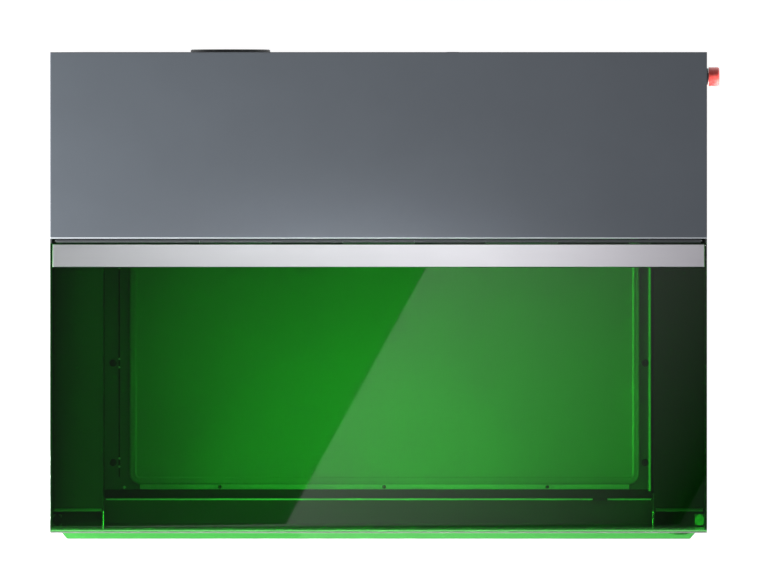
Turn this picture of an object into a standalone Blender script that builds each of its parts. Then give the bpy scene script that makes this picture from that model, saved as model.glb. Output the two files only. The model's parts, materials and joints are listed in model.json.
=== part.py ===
"""Desktop laser cutter: a sheet-metal box with a hinged see-through lid and a belt-driven gantry inside.

Lengths are in millimetres and the helpers turn them into metres. +X is the right-hand side seen from the
front, +Y the rear and +Z up. Every piece is laid out about the middle of the body, with the table at z = 0,
and the "machine" empty then moves the whole so that the origin is under the middle of its overall box.
"""

import math

import bmesh
import bpy
from mathutils import Matrix, Vector

MM = 0.001

# ---- overall size and the sheets it is made of
WIDTH = 750.0
DEPTH = 549.0
HEIGHT = 183.0
FOOT_HEIGHT = 11.0
SHEET = 2.0
THIN = 1.5
SEAT = 0.3
RUN = 0.4

# ---- the lid, the rear cover and the hinge between them
LID_SHEET = 3.0
LID_BEND = 10.0
LIP_REACH = 7.8
LIP_SHOULDER = 11.4
COVER_DEPTH = 213.0
COVER_DROP = 13.0
HINGE_GAP = 5.4
TRIM_DEPTH = 25.8
TRIM_SETBACK = 1.2
KNUCKLE = 2.4
PIN = 1.2

# ---- the floor, the front and the side housings
PAN_WALL = 13.0
SILL = 62.0
HEM = 100.0
HOUSING = 60.5
HOUSING_FRONT = 24.5
BAFFLE_SETBACK = 38.5
LEDGE = 24.5

# ---- the work bed
BED_WIDTH = 585.3
BED_OFFSET = 7.0
BED_RIM = 7.7
BED_RIM_HEIGHT = 4.0
BED_CORNER = 12.0
BED_OVERLAP = 12.0

# ---- belts, pulleys and rails
SHAFT_DROP = 83.0
SHAFT = 4.0
PULLEY = 6.1
PULLEY_FLANGE = 8.2
BELT = 1.4
BELT_WIDTH = 6.0
RAIL_WIDTH = 12.0
RAIL_HEIGHT = 8.0
BLOCK_WIDTH = 27.0
BLOCK_HEIGHT = 10.3
BLOCK_LENGTH = 45.0
BEAM_WIDTH = 28.0
BEAM_HEIGHT = 34.0
MOTOR = 42.0

# ---- the head
HEAD_WIDTH = 62.0
HEAD_DEPTH = 44.0
HEAD_HEIGHT = 80.0
NOZZLE = 10.0

# ---- what is fitted to the back, the side and the front
FAN = 120.0
FAN_DEPTH = 25.0
DUCT = 38.0
OUTLET_RING = 45.5
OUTLET_REACH = 3.5
STOP_CAP = 10.9
STOP_REACH = 15.0
BUTTON = 9.0

# ---- planes and centres that follow from the sizes above
HALF = WIDTH / 2
REAR = DEPTH / 2
FRONT = -DEPTH / 2
INSIDE = HALF - SHEET - SEAT
PAN_TOP = FOOT_HEIGHT + PAN_WALL
FLOOR = FOOT_HEIGHT + SHEET
ON_FLOOR = FLOOR + SEAT
COVER_FRONT = REAR - COVER_DEPTH
COVER_BOTTOM = HEIGHT - COVER_DROP
LID_REAR = COVER_FRONT - HINGE_GAP
LID_UNDER = HEIGHT - LID_SHEET
LID_BOTTOM = SILL + 2
LID_FRONT_IN = FRONT + LID_SHEET
BACK_OUT = REAR - THIN - SEAT
BACK_IN = BACK_OUT - SHEET
BACK = BACK_IN - SEAT
PAN_REAR = BACK
PAN_FRONT = FRONT + SHEET + SEAT
CHAMBER = HALF - HOUSING
WALL_OUT = CHAMBER + THIN
BETWEEN = CHAMBER - SEAT
HOUSING_TOP = COVER_BOTTOM - 3.2
WALL_TOP = HOUSING_TOP - THIN - SEAT
PARTITION = REAR - 70.5
BAFFLE = FRONT + BAFFLE_SETBACK
SHAFT_Y = PARTITION + THIN + SEAT + MOTOR / 2
SHAFT_Z = HEIGHT - SHAFT_DROP
IDLER_Y = FRONT + 49.5
LOOP_IN = PULLEY + SEAT
LOOP_OUT = LOOP_IN + BELT
DRIVE_X = WALL_OUT + 24
BELT_Y = PARTITION - 28
BEAM_Z = SHAFT_Z + 13
BEAM_TOP = BEAM_Z + BEAM_HEIGHT
BEAM_FACE = BELT_Y - 18
SHELF = BEAM_TOP + SEAT
SHELF_TOP = SHELF + 4
BELT_Z = SHELF_TOP + 1.3
TRUCK = WALL_OUT + SEAT + RAIL_HEIGHT + 5.3
X_MOTOR = -CHAMBER + 28.5
X_IDLER = CHAMBER - 24.5
HEAD_X = -CHAMBER + 76.5
CARRIAGE = BEAM_FACE - SEAT - RAIL_HEIGHT - 12.1
HEAD_BACK = CARRIAGE - 8
HEAD_Z = SHAFT_Z - 14
HINGE_Y = COVER_FRONT - SEAT - KNUCKLE
HINGE_Z = HEIGHT - SEAT - KNUCKLE
FAN_X = -HALF + 205.5
FAN_Z = (PAN_TOP + HEIGHT - THIN) / 2
FAN_BORE = FAN / 2 - 3
FAN_FRONT = BACK - FAN_DEPTH
STOP_Y = REAR - 27.5
STOP_Z = SHAFT_Z + 20
BUTTON_X = HALF - 30
BUTTON_Z = FOOT_HEIGHT + 26
INLET_X = HALF - 290
ROCKER_X = INLET_X + 40
POWER_Z = PAN_TOP + 36
SOCKET_X = HALF - 195
BOARD_Z = PAN_TOP + 1


# ---------------------------------------------------------------- helpers
def link(name, data):
    made = bpy.data.objects.new(name, data)
    bpy.context.scene.collection.objects.link(made)
    return made


def on_axis(axis, u, v, w):
    """A point whose place along the axis is w, and across it (u, v)."""
    return {"X": (w, u, v), "Y": (u, w, v), "Z": (u, v, w)}[axis]


def prism(outline, axis, ends):
    """A solid with this outline, pushed along an axis between two ends."""
    low, high = sorted(ends)
    shape = bmesh.new()
    rings = []
    for w in (low, high):
        rings.append([shape.verts.new(Vector(on_axis(axis, u, v, w)) * MM) for u, v in outline])
    shape.faces.new(rings[0])
    shape.faces.new(rings[1])
    count = len(outline)
    for i in range(count):
        j = (i + 1) % count
        shape.faces.new((rings[0][i], rings[0][j], rings[1][j], rings[1][i]))
    bmesh.ops.recalc_face_normals(shape, faces=shape.faces)
    mesh = bpy.data.meshes.new("shape")
    shape.to_mesh(mesh)
    shape.free()
    return link("shape", mesh)


def box(x, y, z):
    (x0, x1), (z0, z1) = sorted(x), sorted(z)
    return prism([(x0, z0), (x1, z0), (x1, z1), (x0, z1)], "Y", y)


def arc(centre, radius, start, end, steps):
    """Points on an arc, both ends included, with its angles in degrees."""
    points = []
    for i in range(steps + 1):
        angle = math.radians(start + (end - start) * i / steps)
        points.append((centre[0] + radius * math.cos(angle), centre[1] + radius * math.sin(angle)))
    return points


def circle(centre, radius, sides):
    return arc(centre, radius, 0, 360 - 360 / sides, sides - 1)


def cylinder(axis, centre, radius, ends, sides=24):
    return prism(circle(centre, radius, sides), axis, ends)


def rounded(u, v, radius, steps=4):
    """A rectangle's outline with round corners."""
    (u0, u1), (v0, v1) = sorted(u), sorted(v)
    corners = ((u1, v1, 0), (u0, v1, 90), (u0, v0, 180), (u1, v0, 270))
    points = []
    for corner_u, corner_v, start in corners:
        inset_u = math.copysign(radius, corner_u - (u0 + u1) / 2)
        inset_v = math.copysign(radius, corner_v - (v0 + v1) / 2)
        points += arc((corner_u - inset_u, corner_v - inset_v), radius, start, start + 90, steps)
    return points


def stadium(first, last, across, radius, steps=10):
    """The outline of a belt loop round two equal pulleys."""
    return arc((last, across), radius, -90, 90, steps) + arc((first, across), radius, 90, 270, steps)


def bent(path, radius, steps=4):
    """A path whose inner corners are rounded to a bend radius."""
    points = [Vector(path[0])]
    for before, corner, after in zip(path, path[1:], path[2:]):
        corner = Vector(corner)
        arriving = (corner - Vector(before)).normalized()
        leaving = (Vector(after) - corner).normalized()
        turn = arriving.angle(leaving)
        cutback = radius * math.tan(turn / 2)
        first = corner - arriving * cutback
        last = corner + leaving * cutback
        centre = corner + (leaving - arriving).normalized() * radius / math.cos(turn / 2)
        for i in range(steps + 1):
            spread = (first - centre).lerp(last - centre, i / steps)
            points.append(centre + spread.normalized() * radius)
    points.append(Vector(path[-1]))
    return points


def ribbon(path, thickness):
    """The outline of a bent sheet: the path is its one face, and the other lies on the path's left."""
    path = [Vector(point) for point in path]
    normals = []
    for start, end in zip(path, path[1:]):
        way = (end - start).normalized()
        normals.append(Vector((-way.y, way.x)))
    other = []
    for point, before, after in zip(path, normals[:1] + normals, normals + normals[-1:]):
        other.append(point + (before + after) * thickness / (1 + before.dot(after)))
    return [tuple(point) for point in path] + [tuple(point) for point in reversed(other)]


def combine(target, tools, operation):
    """Applies one Boolean for each tool, and removes the tools."""
    for tool in tools:
        step = target.modifiers.new("step", "BOOLEAN")
        step.operation = operation
        step.solver = "EXACT"
        step.object = tool
    graph = bpy.context.evaluated_depsgraph_get()
    result = bpy.data.meshes.new_from_object(target.evaluated_get(graph))
    target.modifiers.clear()
    spent = [target.data] + [tool.data for tool in tools]
    target.data = result
    for tool in tools:
        bpy.data.objects.remove(tool)
    for mesh in spent:
        bpy.data.meshes.remove(mesh)
    return target


def cut(target, *tools):
    return combine(target, tools, "DIFFERENCE")


def join(target, *tools):
    return combine(target, tools, "UNION")


def bevel_top(target, width, segments=2):
    """Rounds off the edges round the top face."""
    shape = bmesh.new()
    shape.from_mesh(target.data)
    top = max(vert.co.z for vert in shape.verts)
    rim = [edge for edge in shape.edges if min(vert.co.z for vert in edge.verts) > top - MM / 100]
    bmesh.ops.bevel(shape, geom=rim, offset=width * MM, segments=segments, affect="EDGES", profile=0.5)
    shape.to_mesh(target.data)
    shape.free()
    return target


def side_span(side, near, far):
    """The X ends of a piece that is mirrored to the left (-1) or the right (+1)."""
    return tuple(sorted((side * near, side * far)))


SIDES = {"left": -1, "right": 1}
MATERIALS = {}
PIVOTS = {}


def material(name, colour, roughness, metallic=0.0, alpha=1.0):
    """A material from an sRGB colour."""
    made = bpy.data.materials.new(name)
    made.use_nodes = True
    shader = made.node_tree.nodes["Principled BSDF"]
    linear = [((c / 255 + 0.055) / 1.055) ** 2.4 if c > 10 else c / 255 / 12.92 for c in colour]
    shader.inputs["Base Color"].default_value = (*linear, 1)
    shader.inputs["Roughness"].default_value = roughness
    shader.inputs["Metallic"].default_value = metallic
    shader.inputs["Alpha"].default_value = alpha
    made.diffuse_color = (*linear, alpha)
    MATERIALS[name] = made


def pivot(name, at, parent=None):
    """An empty on a joint's axis; the pieces that the joint moves hang from it."""
    empty = link(name, None)
    empty.empty_display_size = 20 * MM
    origin = Vector(at) * MM
    empty.location = origin
    if parent:
        empty.parent = bpy.data.objects[parent]
        empty.location = origin - PIVOTS[parent]
    PIVOTS[name] = origin


def finish(piece, name, finish_name, parent="machine"):
    """Names a piece, gives it its material and hangs it from its empty without moving it."""
    piece.name = name
    piece.data.name = name
    piece.data.materials.clear()
    piece.data.materials.append(MATERIALS[finish_name])
    piece.data.shade_smooth()
    piece.data.set_sharp_from_angle(angle=math.radians(35))
    piece.data.transform(Matrix.Translation(-PIVOTS[parent]))
    piece.parent = bpy.data.objects[parent]


# ---------------------------------------------------------------- body and covers
def make_base_pan():
    pan = box((-INSIDE, INSIDE), (PAN_FRONT, PAN_REAR), (FOOT_HEIGHT, PAN_TOP))
    inner_x = (SHEET - INSIDE, INSIDE - SHEET)
    hollow = box(inner_x, (PAN_FRONT + SHEET, PAN_REAR - SHEET), (FLOOR, PAN_TOP + 5))
    finish(cut(pan, hollow), "base_pan", "black_steel")


def make_feet():
    inset = 45
    for x_name, x in (("left", inset - HALF), ("right", HALF - inset)):
        for y_name, y in (("front", FRONT + inset), ("rear", REAR - inset)):
            foot = cylinder("Z", (x, y), 14, (0, FOOT_HEIGHT - SEAT), 20)
            finish(foot, f"{y_name}_{x_name}_foot", "rubber")


def make_side_panels():
    bend = LID_BEND - LID_SHEET - SEAT
    step_y = COVER_FRONT - SEAT
    under_cover = COVER_BOTTOM - SEAT
    outline = [(REAR, FOOT_HEIGHT), (REAR, under_cover), (step_y, under_cover), (step_y, LID_UNDER - SEAT)]
    outline += arc((FRONT + LID_BEND, HEIGHT - LID_BEND), bend, 90, 180, 4)
    outline += [(LID_FRONT_IN + SEAT, SILL), (FRONT, SILL), (FRONT, FOOT_HEIGHT)]
    for name, side in SIDES.items():
        panel = prism(outline, "X", side_span(side, HALF - SHEET, HALF))
        if side > 0:
            cut(panel, cylinder("X", (STOP_Y, STOP_Z), STOP_CAP - 2.8, (HALF - 10, HALF + 10)))
        finish(panel, f"{name}_side_panel", "black_steel")


def make_rear_panel():
    panel = box((-INSIDE, INSIDE), (BACK_IN, BACK_OUT), (FOOT_HEIGHT, COVER_BOTTOM + 5))
    through = (BACK_IN - 5, BACK_OUT + 5)
    duct_hole = cylinder("Y", (FAN_X, FAN_Z), DUCT + 2, through, 40)
    power_hole = box((INLET_X - 7, INLET_X + 62), through, (POWER_Z - 24, POWER_Z + 14))
    socket_hole = box((SOCKET_X - 6.5, SOCKET_X + 6.5), through, (BOARD_Z + 0.8, BOARD_Z + 12.6))
    finish(cut(panel, duct_hole, power_hole, socket_hole), "rear_panel", "black_steel")


def make_rear_top_cover():
    cover = box((-HALF, HALF), (COVER_FRONT, REAR), (COVER_BOTTOM, HEIGHT))
    bevel_top(cover, 1.0)
    inner_y = (COVER_FRONT + THIN, REAR - THIN)
    hollow = box((THIN - HALF, HALF - THIN), inner_y, (COVER_BOTTOM - 5, HEIGHT - THIN))
    finish(cut(cover, hollow), "rear_top_cover", "grey_paint")


def make_front_skirt():
    path = bent([(FRONT + LEDGE, SILL), (FRONT, SILL), (FRONT, FOOT_HEIGHT)], 2.6)
    skirt = prism(ribbon(path, SHEET), "X", (-INSIDE, INSIDE))
    hole = cylinder("Y", (BUTTON_X, BUTTON_Z), BUTTON + 1.8, (FRONT - 5, FRONT + 8))
    finish(cut(skirt, hole), "front_skirt", "black_steel")


def baffle_slope():
    """The two ends of the sloping outer face of the baffle."""
    return Vector((BAFFLE, HEM)), Vector((BAFFLE - 28, SILL + SEAT + THIN))


def make_front_baffle():
    foot = PAN_TOP + SEAT + THIN
    top, bottom = baffle_slope()
    path = [(BAFFLE + 10, foot), (BAFFLE, foot), tuple(top), tuple(bottom), (BAFFLE - 33, bottom.y)]
    finish(prism(ribbon(path, THIN), "X", (-BETWEEN, BETWEEN)), "front_baffle", "black_steel")


def make_inner_walls():
    rear = PAN_REAR - SHEET - SEAT
    over_sill = SILL + SEAT
    low_front = FRONT + LEDGE + SEAT
    outline = [(low_front, ON_FLOOR), (rear, ON_FLOOR), (rear, WALL_TOP), (FRONT + 5.5, WALL_TOP)]
    outline += [(FRONT + 5.5, over_sill), (low_front, over_sill)]
    slot_y = (BAFFLE + 66, PARTITION - 1)
    slot_z = (BEAM_Z - 3, SHELF_TOP + 2.7)
    for name, side in SIDES.items():
        wall = prism(outline, "X", side_span(side, CHAMBER, WALL_OUT))
        through = side_span(side, CHAMBER - 5, WALL_OUT + 5)
        slot = prism(rounded(slot_y, slot_z, 4, 2), "X", through)
        shaft_hole = cylinder("X", (SHAFT_Y, SHAFT_Z), SHAFT + 1.5, through)
        finish(cut(wall, slot, shaft_hole), f"{name}_inner_wall", "black_steel")


def make_rail_covers():
    front = FRONT + HOUSING_FRONT
    path = bent([(BACK, HOUSING_TOP), (front, HOUSING_TOP), (front, HOUSING_TOP - 36.8)], 4)
    top_z = (HOUSING_TOP - THIN, HOUSING_TOP)
    for name, side in SIDES.items():
        cover = prism(ribbon(path, THIN), "X", side_span(side, WALL_OUT + SEAT, INSIDE))
        strip = box(side_span(side, CHAMBER, WALL_OUT + 2), (front + 5, BACK), top_z)
        flange_z = (HOUSING_TOP - 11.8, HOUSING_TOP - 0.5)
        flange = box(side_span(side, INSIDE - THIN, INSIDE), (front + 0.8, BACK), flange_z)
        finish(join(cover, strip, flange), f"{name}_rail_cover", "black_plastic")


def make_rear_partition():
    panel = box((-BETWEEN, BETWEEN), (PARTITION, PARTITION + THIN), (ON_FLOOR, COVER_BOTTOM - 1))
    slots = []
    for row in range(-2, 3):
        z = FAN_Z + row * 16
        slots.append(box((FAN_X - 45, FAN_X + 45), (PARTITION - 5, PARTITION + 5), (z - 4, z + 4)))
    finish(cut(panel, *slots), "rear_partition", "black_steel")


def bed_ends():
    """The bed's outer ends along X and Y."""
    return (BED_OFFSET - BED_WIDTH / 2, BED_OFFSET + BED_WIDTH / 2), (BAFFLE + 16.2, PARTITION - 14)


def make_deck_frame():
    front, rear = BAFFLE - THIN, PARTITION - SEAT
    deck = box((-BETWEEN, BETWEEN), (front, rear), (ON_FLOOR, PAN_TOP))
    inner_x = (THIN - BETWEEN, BETWEEN - THIN)
    inner = box(inner_x, (front + THIN, rear - THIN), (ON_FLOOR - 5, PAN_TOP - THIN))
    (x0, x1), (y0, y1) = bed_ends()
    lap = BED_OVERLAP
    opening = box((x0 + lap, x1 - lap), (y0 + lap, y1 - lap), (ON_FLOOR - 5, PAN_TOP + 5))
    finish(cut(deck, inner, opening), "deck_frame", "black_steel")


def make_bed_plate():
    (x0, x1), (y0, y1) = bed_ends()
    bottom = PAN_TOP + SEAT
    top = bottom + SHEET + BED_RIM_HEIGHT
    bed = prism(rounded((x0, x1), (y0, y1), BED_CORNER), "Z", (bottom, top))
    rim = BED_RIM
    floor = rounded((x0 + rim, x1 - rim), (y0 + rim, y1 - rim), BED_CORNER - rim)
    finish(cut(bed, prism(floor, "Z", (bottom + SHEET, top + 5))), "bed_plate", "bed_steel")


# ---------------------------------------------------------------- front to rear drive
def make_y_rails():
    near = WALL_OUT + SEAT
    for name, side in SIDES.items():
        half, neck = RAIL_WIDTH / 2, RAIL_WIDTH / 2 - 1.2
        middle = SHAFT_Z - half
        steps = ((0, half), (2.5, half), (3.6, neck), (5.0, neck), (6.0, half), (RAIL_HEIGHT, half))
        upper = [(side * (near + out), middle + wide) for out, wide in steps]
        lower = [(side * (near + out), middle - wide) for out, wide in reversed(steps)]
        rail = prism(upper + lower, "Y", (FRONT + 74.5, PARTITION + 2))
        finish(rail, f"{name}_y_rail", "bright_steel")


def make_y_belts():
    for name, side in SIDES.items():
        ends = side_span(side, DRIVE_X, DRIVE_X + BELT_WIDTH)
        wide = side_span(side, DRIVE_X - 3, DRIVE_X + BELT_WIDTH + 3)
        belt = prism(stadium(IDLER_Y, SHAFT_Y, SHAFT_Z, LOOP_OUT), "X", ends)
        inside = prism(stadium(IDLER_Y, SHAFT_Y, SHAFT_Z, LOOP_IN), "X", wide)
        finish(cut(belt, inside), f"{name}_y_belt", "belt_rubber")


def motor_outline(u, v):
    """A square motor's outline with its corners cut off."""
    half, cut_off = MOTOR / 2, MOTOR / 2 - 4
    points = []
    for a, b in ((half, cut_off), (cut_off, half)):
        points += [(a, b), (-a, b), (-a, -b), (a, -b)]
    points.sort(key=lambda point: math.atan2(point[1], point[0]))
    return [(u + a, v + b) for a, b in points]


def make_y_motor():
    ends = (INLET_X - 50, INLET_X - 10)
    motor = prism(motor_outline(SHAFT_Y, SHAFT_Z), "X", ends)
    bore = cylinder("X", (SHAFT_Y, SHAFT_Z), SHAFT + RUN, (ends[0] - 5, ends[1] + 5))
    finish(cut(motor, bore), "y_motor", "motor_black")


def make_shaft_bearings():
    near = WALL_OUT + SEAT
    for name, side in SIDES.items():
        outline = rounded((SHAFT_Y - 12, SHAFT_Y + 12), (SHAFT_Z - 12, SHAFT_Z + 12), 3, 2)
        block = prism(outline, "X", side_span(side, near, near + 10))
        bore = cylinder("X", (SHAFT_Y, SHAFT_Z), SHAFT + RUN, side_span(side, near - 5, near + 15))
        finish(cut(block, bore), f"{name}_shaft_bearing", "aluminium")


def make_idler_brackets():
    near = WALL_OUT + SEAT
    centre = (IDLER_Y, SHAFT_Z)
    for name, side in SIDES.items():
        outline = rounded((IDLER_Y - 12, IDLER_Y + 12), (SHAFT_Z - 14, SHAFT_Z + 14), 3, 2)
        bracket = prism(outline, "X", side_span(side, near, near + 4))
        boss = cylinder("X", centre, 4.5, side_span(side, near + 3, DRIVE_X - 1.4), 16)
        pin = cylinder("X", centre, 2.5, side_span(side, near + 5, DRIVE_X + BELT_WIDTH + 1.5), 16)
        finish(join(bracket, boss, pin), f"{name}_idler_bracket", "aluminium")


def pulley(axis, centre, low):
    """A toothless belt pulley with a flange on each side of its belt, which starts at low."""
    high = low + BELT_WIDTH
    body = cylinder(axis, centre, PULLEY, (low - 0.6, high + 0.6))
    flanges = []
    for ends in ((low - 1.0, low - 0.3), (high + 0.3, high + 1.0)):
        flanges.append(cylinder(axis, centre, PULLEY_FLANGE, ends))
    return join(body, *flanges)


def make_y_drive_shaft():
    centre = (SHAFT_Y, SHAFT_Z)
    end = DRIVE_X + BELT_WIDTH + 2
    shaft = cylinder("X", centre, SHAFT, (-end, end))
    join(shaft, pulley("X", centre, DRIVE_X), pulley("X", centre, -DRIVE_X - BELT_WIDTH))
    finish(shaft, "y_drive_shaft", "bright_steel", "y_shaft")


def make_y_idlers():
    centre = (IDLER_Y, SHAFT_Z)
    for name, side in SIDES.items():
        low = min(side * DRIVE_X, side * (DRIVE_X + BELT_WIDTH))
        bore = cylinder("X", centre, 2.5 + RUN, (low - 10, low + BELT_WIDTH + 10), 16)
        finish(cut(pulley("X", centre, low), bore), f"{name}_y_idler", "aluminium", f"{name}_idler")


# ---------------------------------------------------------------- gantry
def make_trucks():
    rail_top = WALL_OUT + SEAT + RAIL_HEIGHT
    middle = SHAFT_Z - RAIL_WIDTH / 2
    half_block = BLOCK_WIDTH / 2
    groove_z = (middle - RAIL_WIDTH / 2 - RUN, middle + RAIL_WIDTH / 2 + RUN)
    block_y = (BELT_Y - 4 - BLOCK_LENGTH / 2, BELT_Y - 4 + BLOCK_LENGTH / 2)
    jaw_x = (TRUCK + 3.7, DRIVE_X + BELT_WIDTH + 0.5)
    for name, side in SIDES.items():
        plate_z = (SHAFT_Z - 20, SHELF_TOP + 6.7)
        plate = box(side_span(side, TRUCK, TRUCK + 4), (BELT_Y - 34, BELT_Y + 26), plate_z)
        block_x = side_span(side, TRUCK - BLOCK_HEIGHT, TRUCK + 0.6)
        block = box(block_x, block_y, (middle - half_block, middle + half_block))
        groove_x = side_span(side, TRUCK - BLOCK_HEIGHT - 5, rail_top + RUN)
        groove = box(groove_x, (block_y[0] - 5, block_y[1] + 5), groove_z)
        cut(block, groove)
        run = SHAFT_Z + LOOP_OUT
        upper = box(side_span(side, *jaw_x), (BELT_Y - 12, BELT_Y + 8), (run + RUN, run + 4.4))
        under = SHAFT_Z + LOOP_IN - RUN
        lower = box(side_span(side, *jaw_x), (BELT_Y - 12, BELT_Y + 8), (under - 4.2, under))
        if side < 0:
            half, inner = MOTOR / 2, -X_MOTOR - MOTOR / 2 - 13
        else:
            half, inner = BEAM_WIDTH / 2, X_IDLER - 14
        shelf = box(side_span(side, inner, TRUCK + 1), (BELT_Y - half, BELT_Y + half), (SHELF, SHELF_TOP))
        join(plate, block, upper, lower, shelf)
        if side < 0:
            cut(plate, cylinder("Z", (X_MOTOR, BELT_Y), 4, (SHELF - 5, SHELF_TOP + 5), 16))
        else:
            join(plate, cylinder("Z", (X_IDLER, BELT_Y), 2.5, (SHELF + 1, BELT_Z + BELT_WIDTH + 1.4), 16))
        finish(plate, f"{name}_truck", "aluminium", "gantry")


def make_x_beam():
    y, z = (BEAM_FACE, BEAM_FACE + BEAM_WIDTH), (BEAM_Z, BEAM_TOP)
    wall = 2.5
    beam = box((X_MOTOR + MOTOR / 2 + 1, TRUCK - SEAT), y, z)
    hollow = box((-HALF, HALF), (y[0] + wall, y[1] - wall), (z[0] + wall, z[1] - wall))
    finish(cut(beam, hollow), "x_beam", "black_aluminium", "gantry")


def make_x_rail():
    front = BEAM_FACE - SEAT - RAIL_HEIGHT
    middle = (BEAM_Z + BEAM_TOP) / 2
    half, neck = RAIL_WIDTH / 2, RAIL_WIDTH / 2 - 1.2
    steps = ((0, half), (2.0, half), (3.0, neck), (4.4, neck), (5.5, half), (RAIL_HEIGHT, half))
    upper = [(front + out, middle + wide) for out, wide in steps]
    lower = [(front + out, middle - wide) for out, wide in reversed(steps)]
    rail = prism(upper + lower, "X", (X_MOTOR + MOTOR / 2 + 1, X_IDLER + 10))
    finish(rail, "x_rail", "bright_steel", "gantry")


def make_x_motor():
    motor = prism(motor_outline(X_MOTOR, BELT_Y), "Z", (BEAM_Z, BEAM_TOP))
    bore = cylinder("Z", (X_MOTOR, BELT_Y), 2.5 + RUN, (BEAM_TOP - 12.3, BEAM_TOP + 5), 16)
    finish(cut(motor, bore), "x_motor", "motor_black", "gantry")


def make_x_belt():
    belt = prism(stadium(X_MOTOR, X_IDLER, BELT_Y, LOOP_OUT), "Z", (BELT_Z, BELT_Z + BELT_WIDTH))
    inside = prism(stadium(X_MOTOR, X_IDLER, BELT_Y, LOOP_IN), "Z", (BELT_Z - 3, BELT_Z + BELT_WIDTH + 3))
    finish(cut(belt, inside), "x_belt", "belt_rubber", "gantry")


def make_x_pulleys():
    drive = pulley("Z", (X_MOTOR, BELT_Y), BELT_Z)
    join(drive, cylinder("Z", (X_MOTOR, BELT_Y), 2.5, (BEAM_TOP - 12, BELT_Z + 3), 16))
    finish(drive, "x_drive_pulley", "bright_steel", "x_drive")
    bore = cylinder("Z", (X_IDLER, BELT_Y), 2.5 + RUN, (BELT_Z - 5, BELT_Z + BELT_WIDTH + 5), 16)
    finish(cut(pulley("Z", (X_IDLER, BELT_Y), BELT_Z), bore), "x_idler", "aluminium", "x_idler_pin")


# ---------------------------------------------------------------- head
SCREW_X = HEAD_X + HEAD_WIDTH / 2 + 8
SCREW_Y = HEAD_BACK + 0.4


def make_head_carriage():
    half = HEAD_WIDTH / 2
    bottom = HEAD_Z - 2
    plate = box((HEAD_X - half + 1, HEAD_X + half + 17), (CARRIAGE, CARRIAGE + 4), (bottom, bottom + 74))
    middle = (BEAM_Z + BEAM_TOP) / 2
    rail_face = BEAM_FACE - SEAT - RAIL_HEIGHT
    block_x = (HEAD_X - BLOCK_LENGTH / 2, HEAD_X + BLOCK_LENGTH / 2)
    block_z = (middle - BLOCK_WIDTH / 2, middle + BLOCK_WIDTH / 2)
    block = box(block_x, (CARRIAGE + 3.5, rail_face + 3.5), block_z)
    groove_z = (middle - RAIL_WIDTH / 2 - RUN, middle + RAIL_WIDTH / 2 + RUN)
    groove = box((block_x[0] - 5, block_x[1] + 5), (rail_face - RUN, rail_face + 9), groove_z)
    cut(block, groove)
    pieces = [block]
    for side in (-1, 1):
        rib_x = sorted((HEAD_X + side * 8.4, HEAD_X + side * 13))
        pieces.append(box(rib_x, (HEAD_BACK + 0.9, CARRIAGE + 0.5), (bottom + 4, bottom + 70)))
    bracket_x = (HEAD_X + half + 0.6, HEAD_X + half + 16)
    bracket_y = (SCREW_Y - 8, CARRIAGE + 0.5)
    pieces.append(box(bracket_x, bracket_y, (bottom, bottom + 4)))
    pieces.append(box(bracket_x, bracket_y, (bottom + 62, bottom + 66)))
    motor_x = (bracket_x[0] + 0.2, bracket_x[1] - 0.2)
    pieces.append(box(motor_x, (SCREW_Y - 7.6, SCREW_Y + 7), (bottom + 65, bottom + 80)))
    arm_z = (BEAM_TOP + 1.4, SHELF_TOP + 0.1)
    run = BELT_Y - LOOP_OUT
    arm_x = (HEAD_X - 6, HEAD_X + 6)
    pieces.append(box(arm_x, (CARRIAGE + 3, run + BELT + 4.9), arm_z))
    jaw_z = (arm_z[0] + 0.5, BELT_Z + BELT_WIDTH - 0.6)
    pieces.append(box(arm_x, (run - 4.7, run - RUN), jaw_z))
    pieces.append(box(arm_x, (run + BELT + RUN, run + BELT + 4.9), jaw_z))
    join(plate, *pieces)
    bore = cylinder("Z", (SCREW_X, SCREW_Y), 3 + RUN, (bottom - 5, bottom + 65.8), 16)
    finish(cut(plate, bore), "head_carriage", "black_aluminium", "carriage")


def make_z_screw():
    bottom = HEAD_Z - 2
    screw = cylinder("Z", (SCREW_X, SCREW_Y), 3, (bottom + 0.5, bottom + 65.5), 16)
    finish(screw, "z_screw", "bright_steel", "z_screw_axis")


def make_laser_module():
    half = HEAD_WIDTH / 2
    y = (HEAD_BACK - HEAD_DEPTH, HEAD_BACK)
    outline = rounded((HEAD_X - half, HEAD_X + half), y, 3, 3)
    module = prism(outline, "Z", (HEAD_Z, HEAD_Z + HEAD_HEIGHT))
    lens = (HEAD_X, (y[0] + y[1]) / 2)
    nozzle = cylinder("Z", lens, 9, (HEAD_Z - NOZZLE, HEAD_Z + 1), 20)
    slider = box((HEAD_X - 8, HEAD_X + 8), (HEAD_BACK - 1, CARRIAGE - RUN), (HEAD_Z + 14, HEAD_Z + 64))
    nut_x = (HEAD_X + half - 0.5, HEAD_X + half + 15)
    nut = box(nut_x, (SCREW_Y - 7.5, CARRIAGE - 0.7), (HEAD_Z + 46, HEAD_Z + 56))
    join(module, nozzle, slider, nut)
    screw_bore = cylinder("Z", (SCREW_X, SCREW_Y), 3 + RUN, (HEAD_Z + 40, HEAD_Z + 60), 16)
    beam_bore = cylinder("Z", lens, 3, (HEAD_Z - NOZZLE - 5, HEAD_Z + 4), 12)
    finish(cut(module, screw_bore, beam_bore), "laser_module", "black_aluminium", "head")


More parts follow.
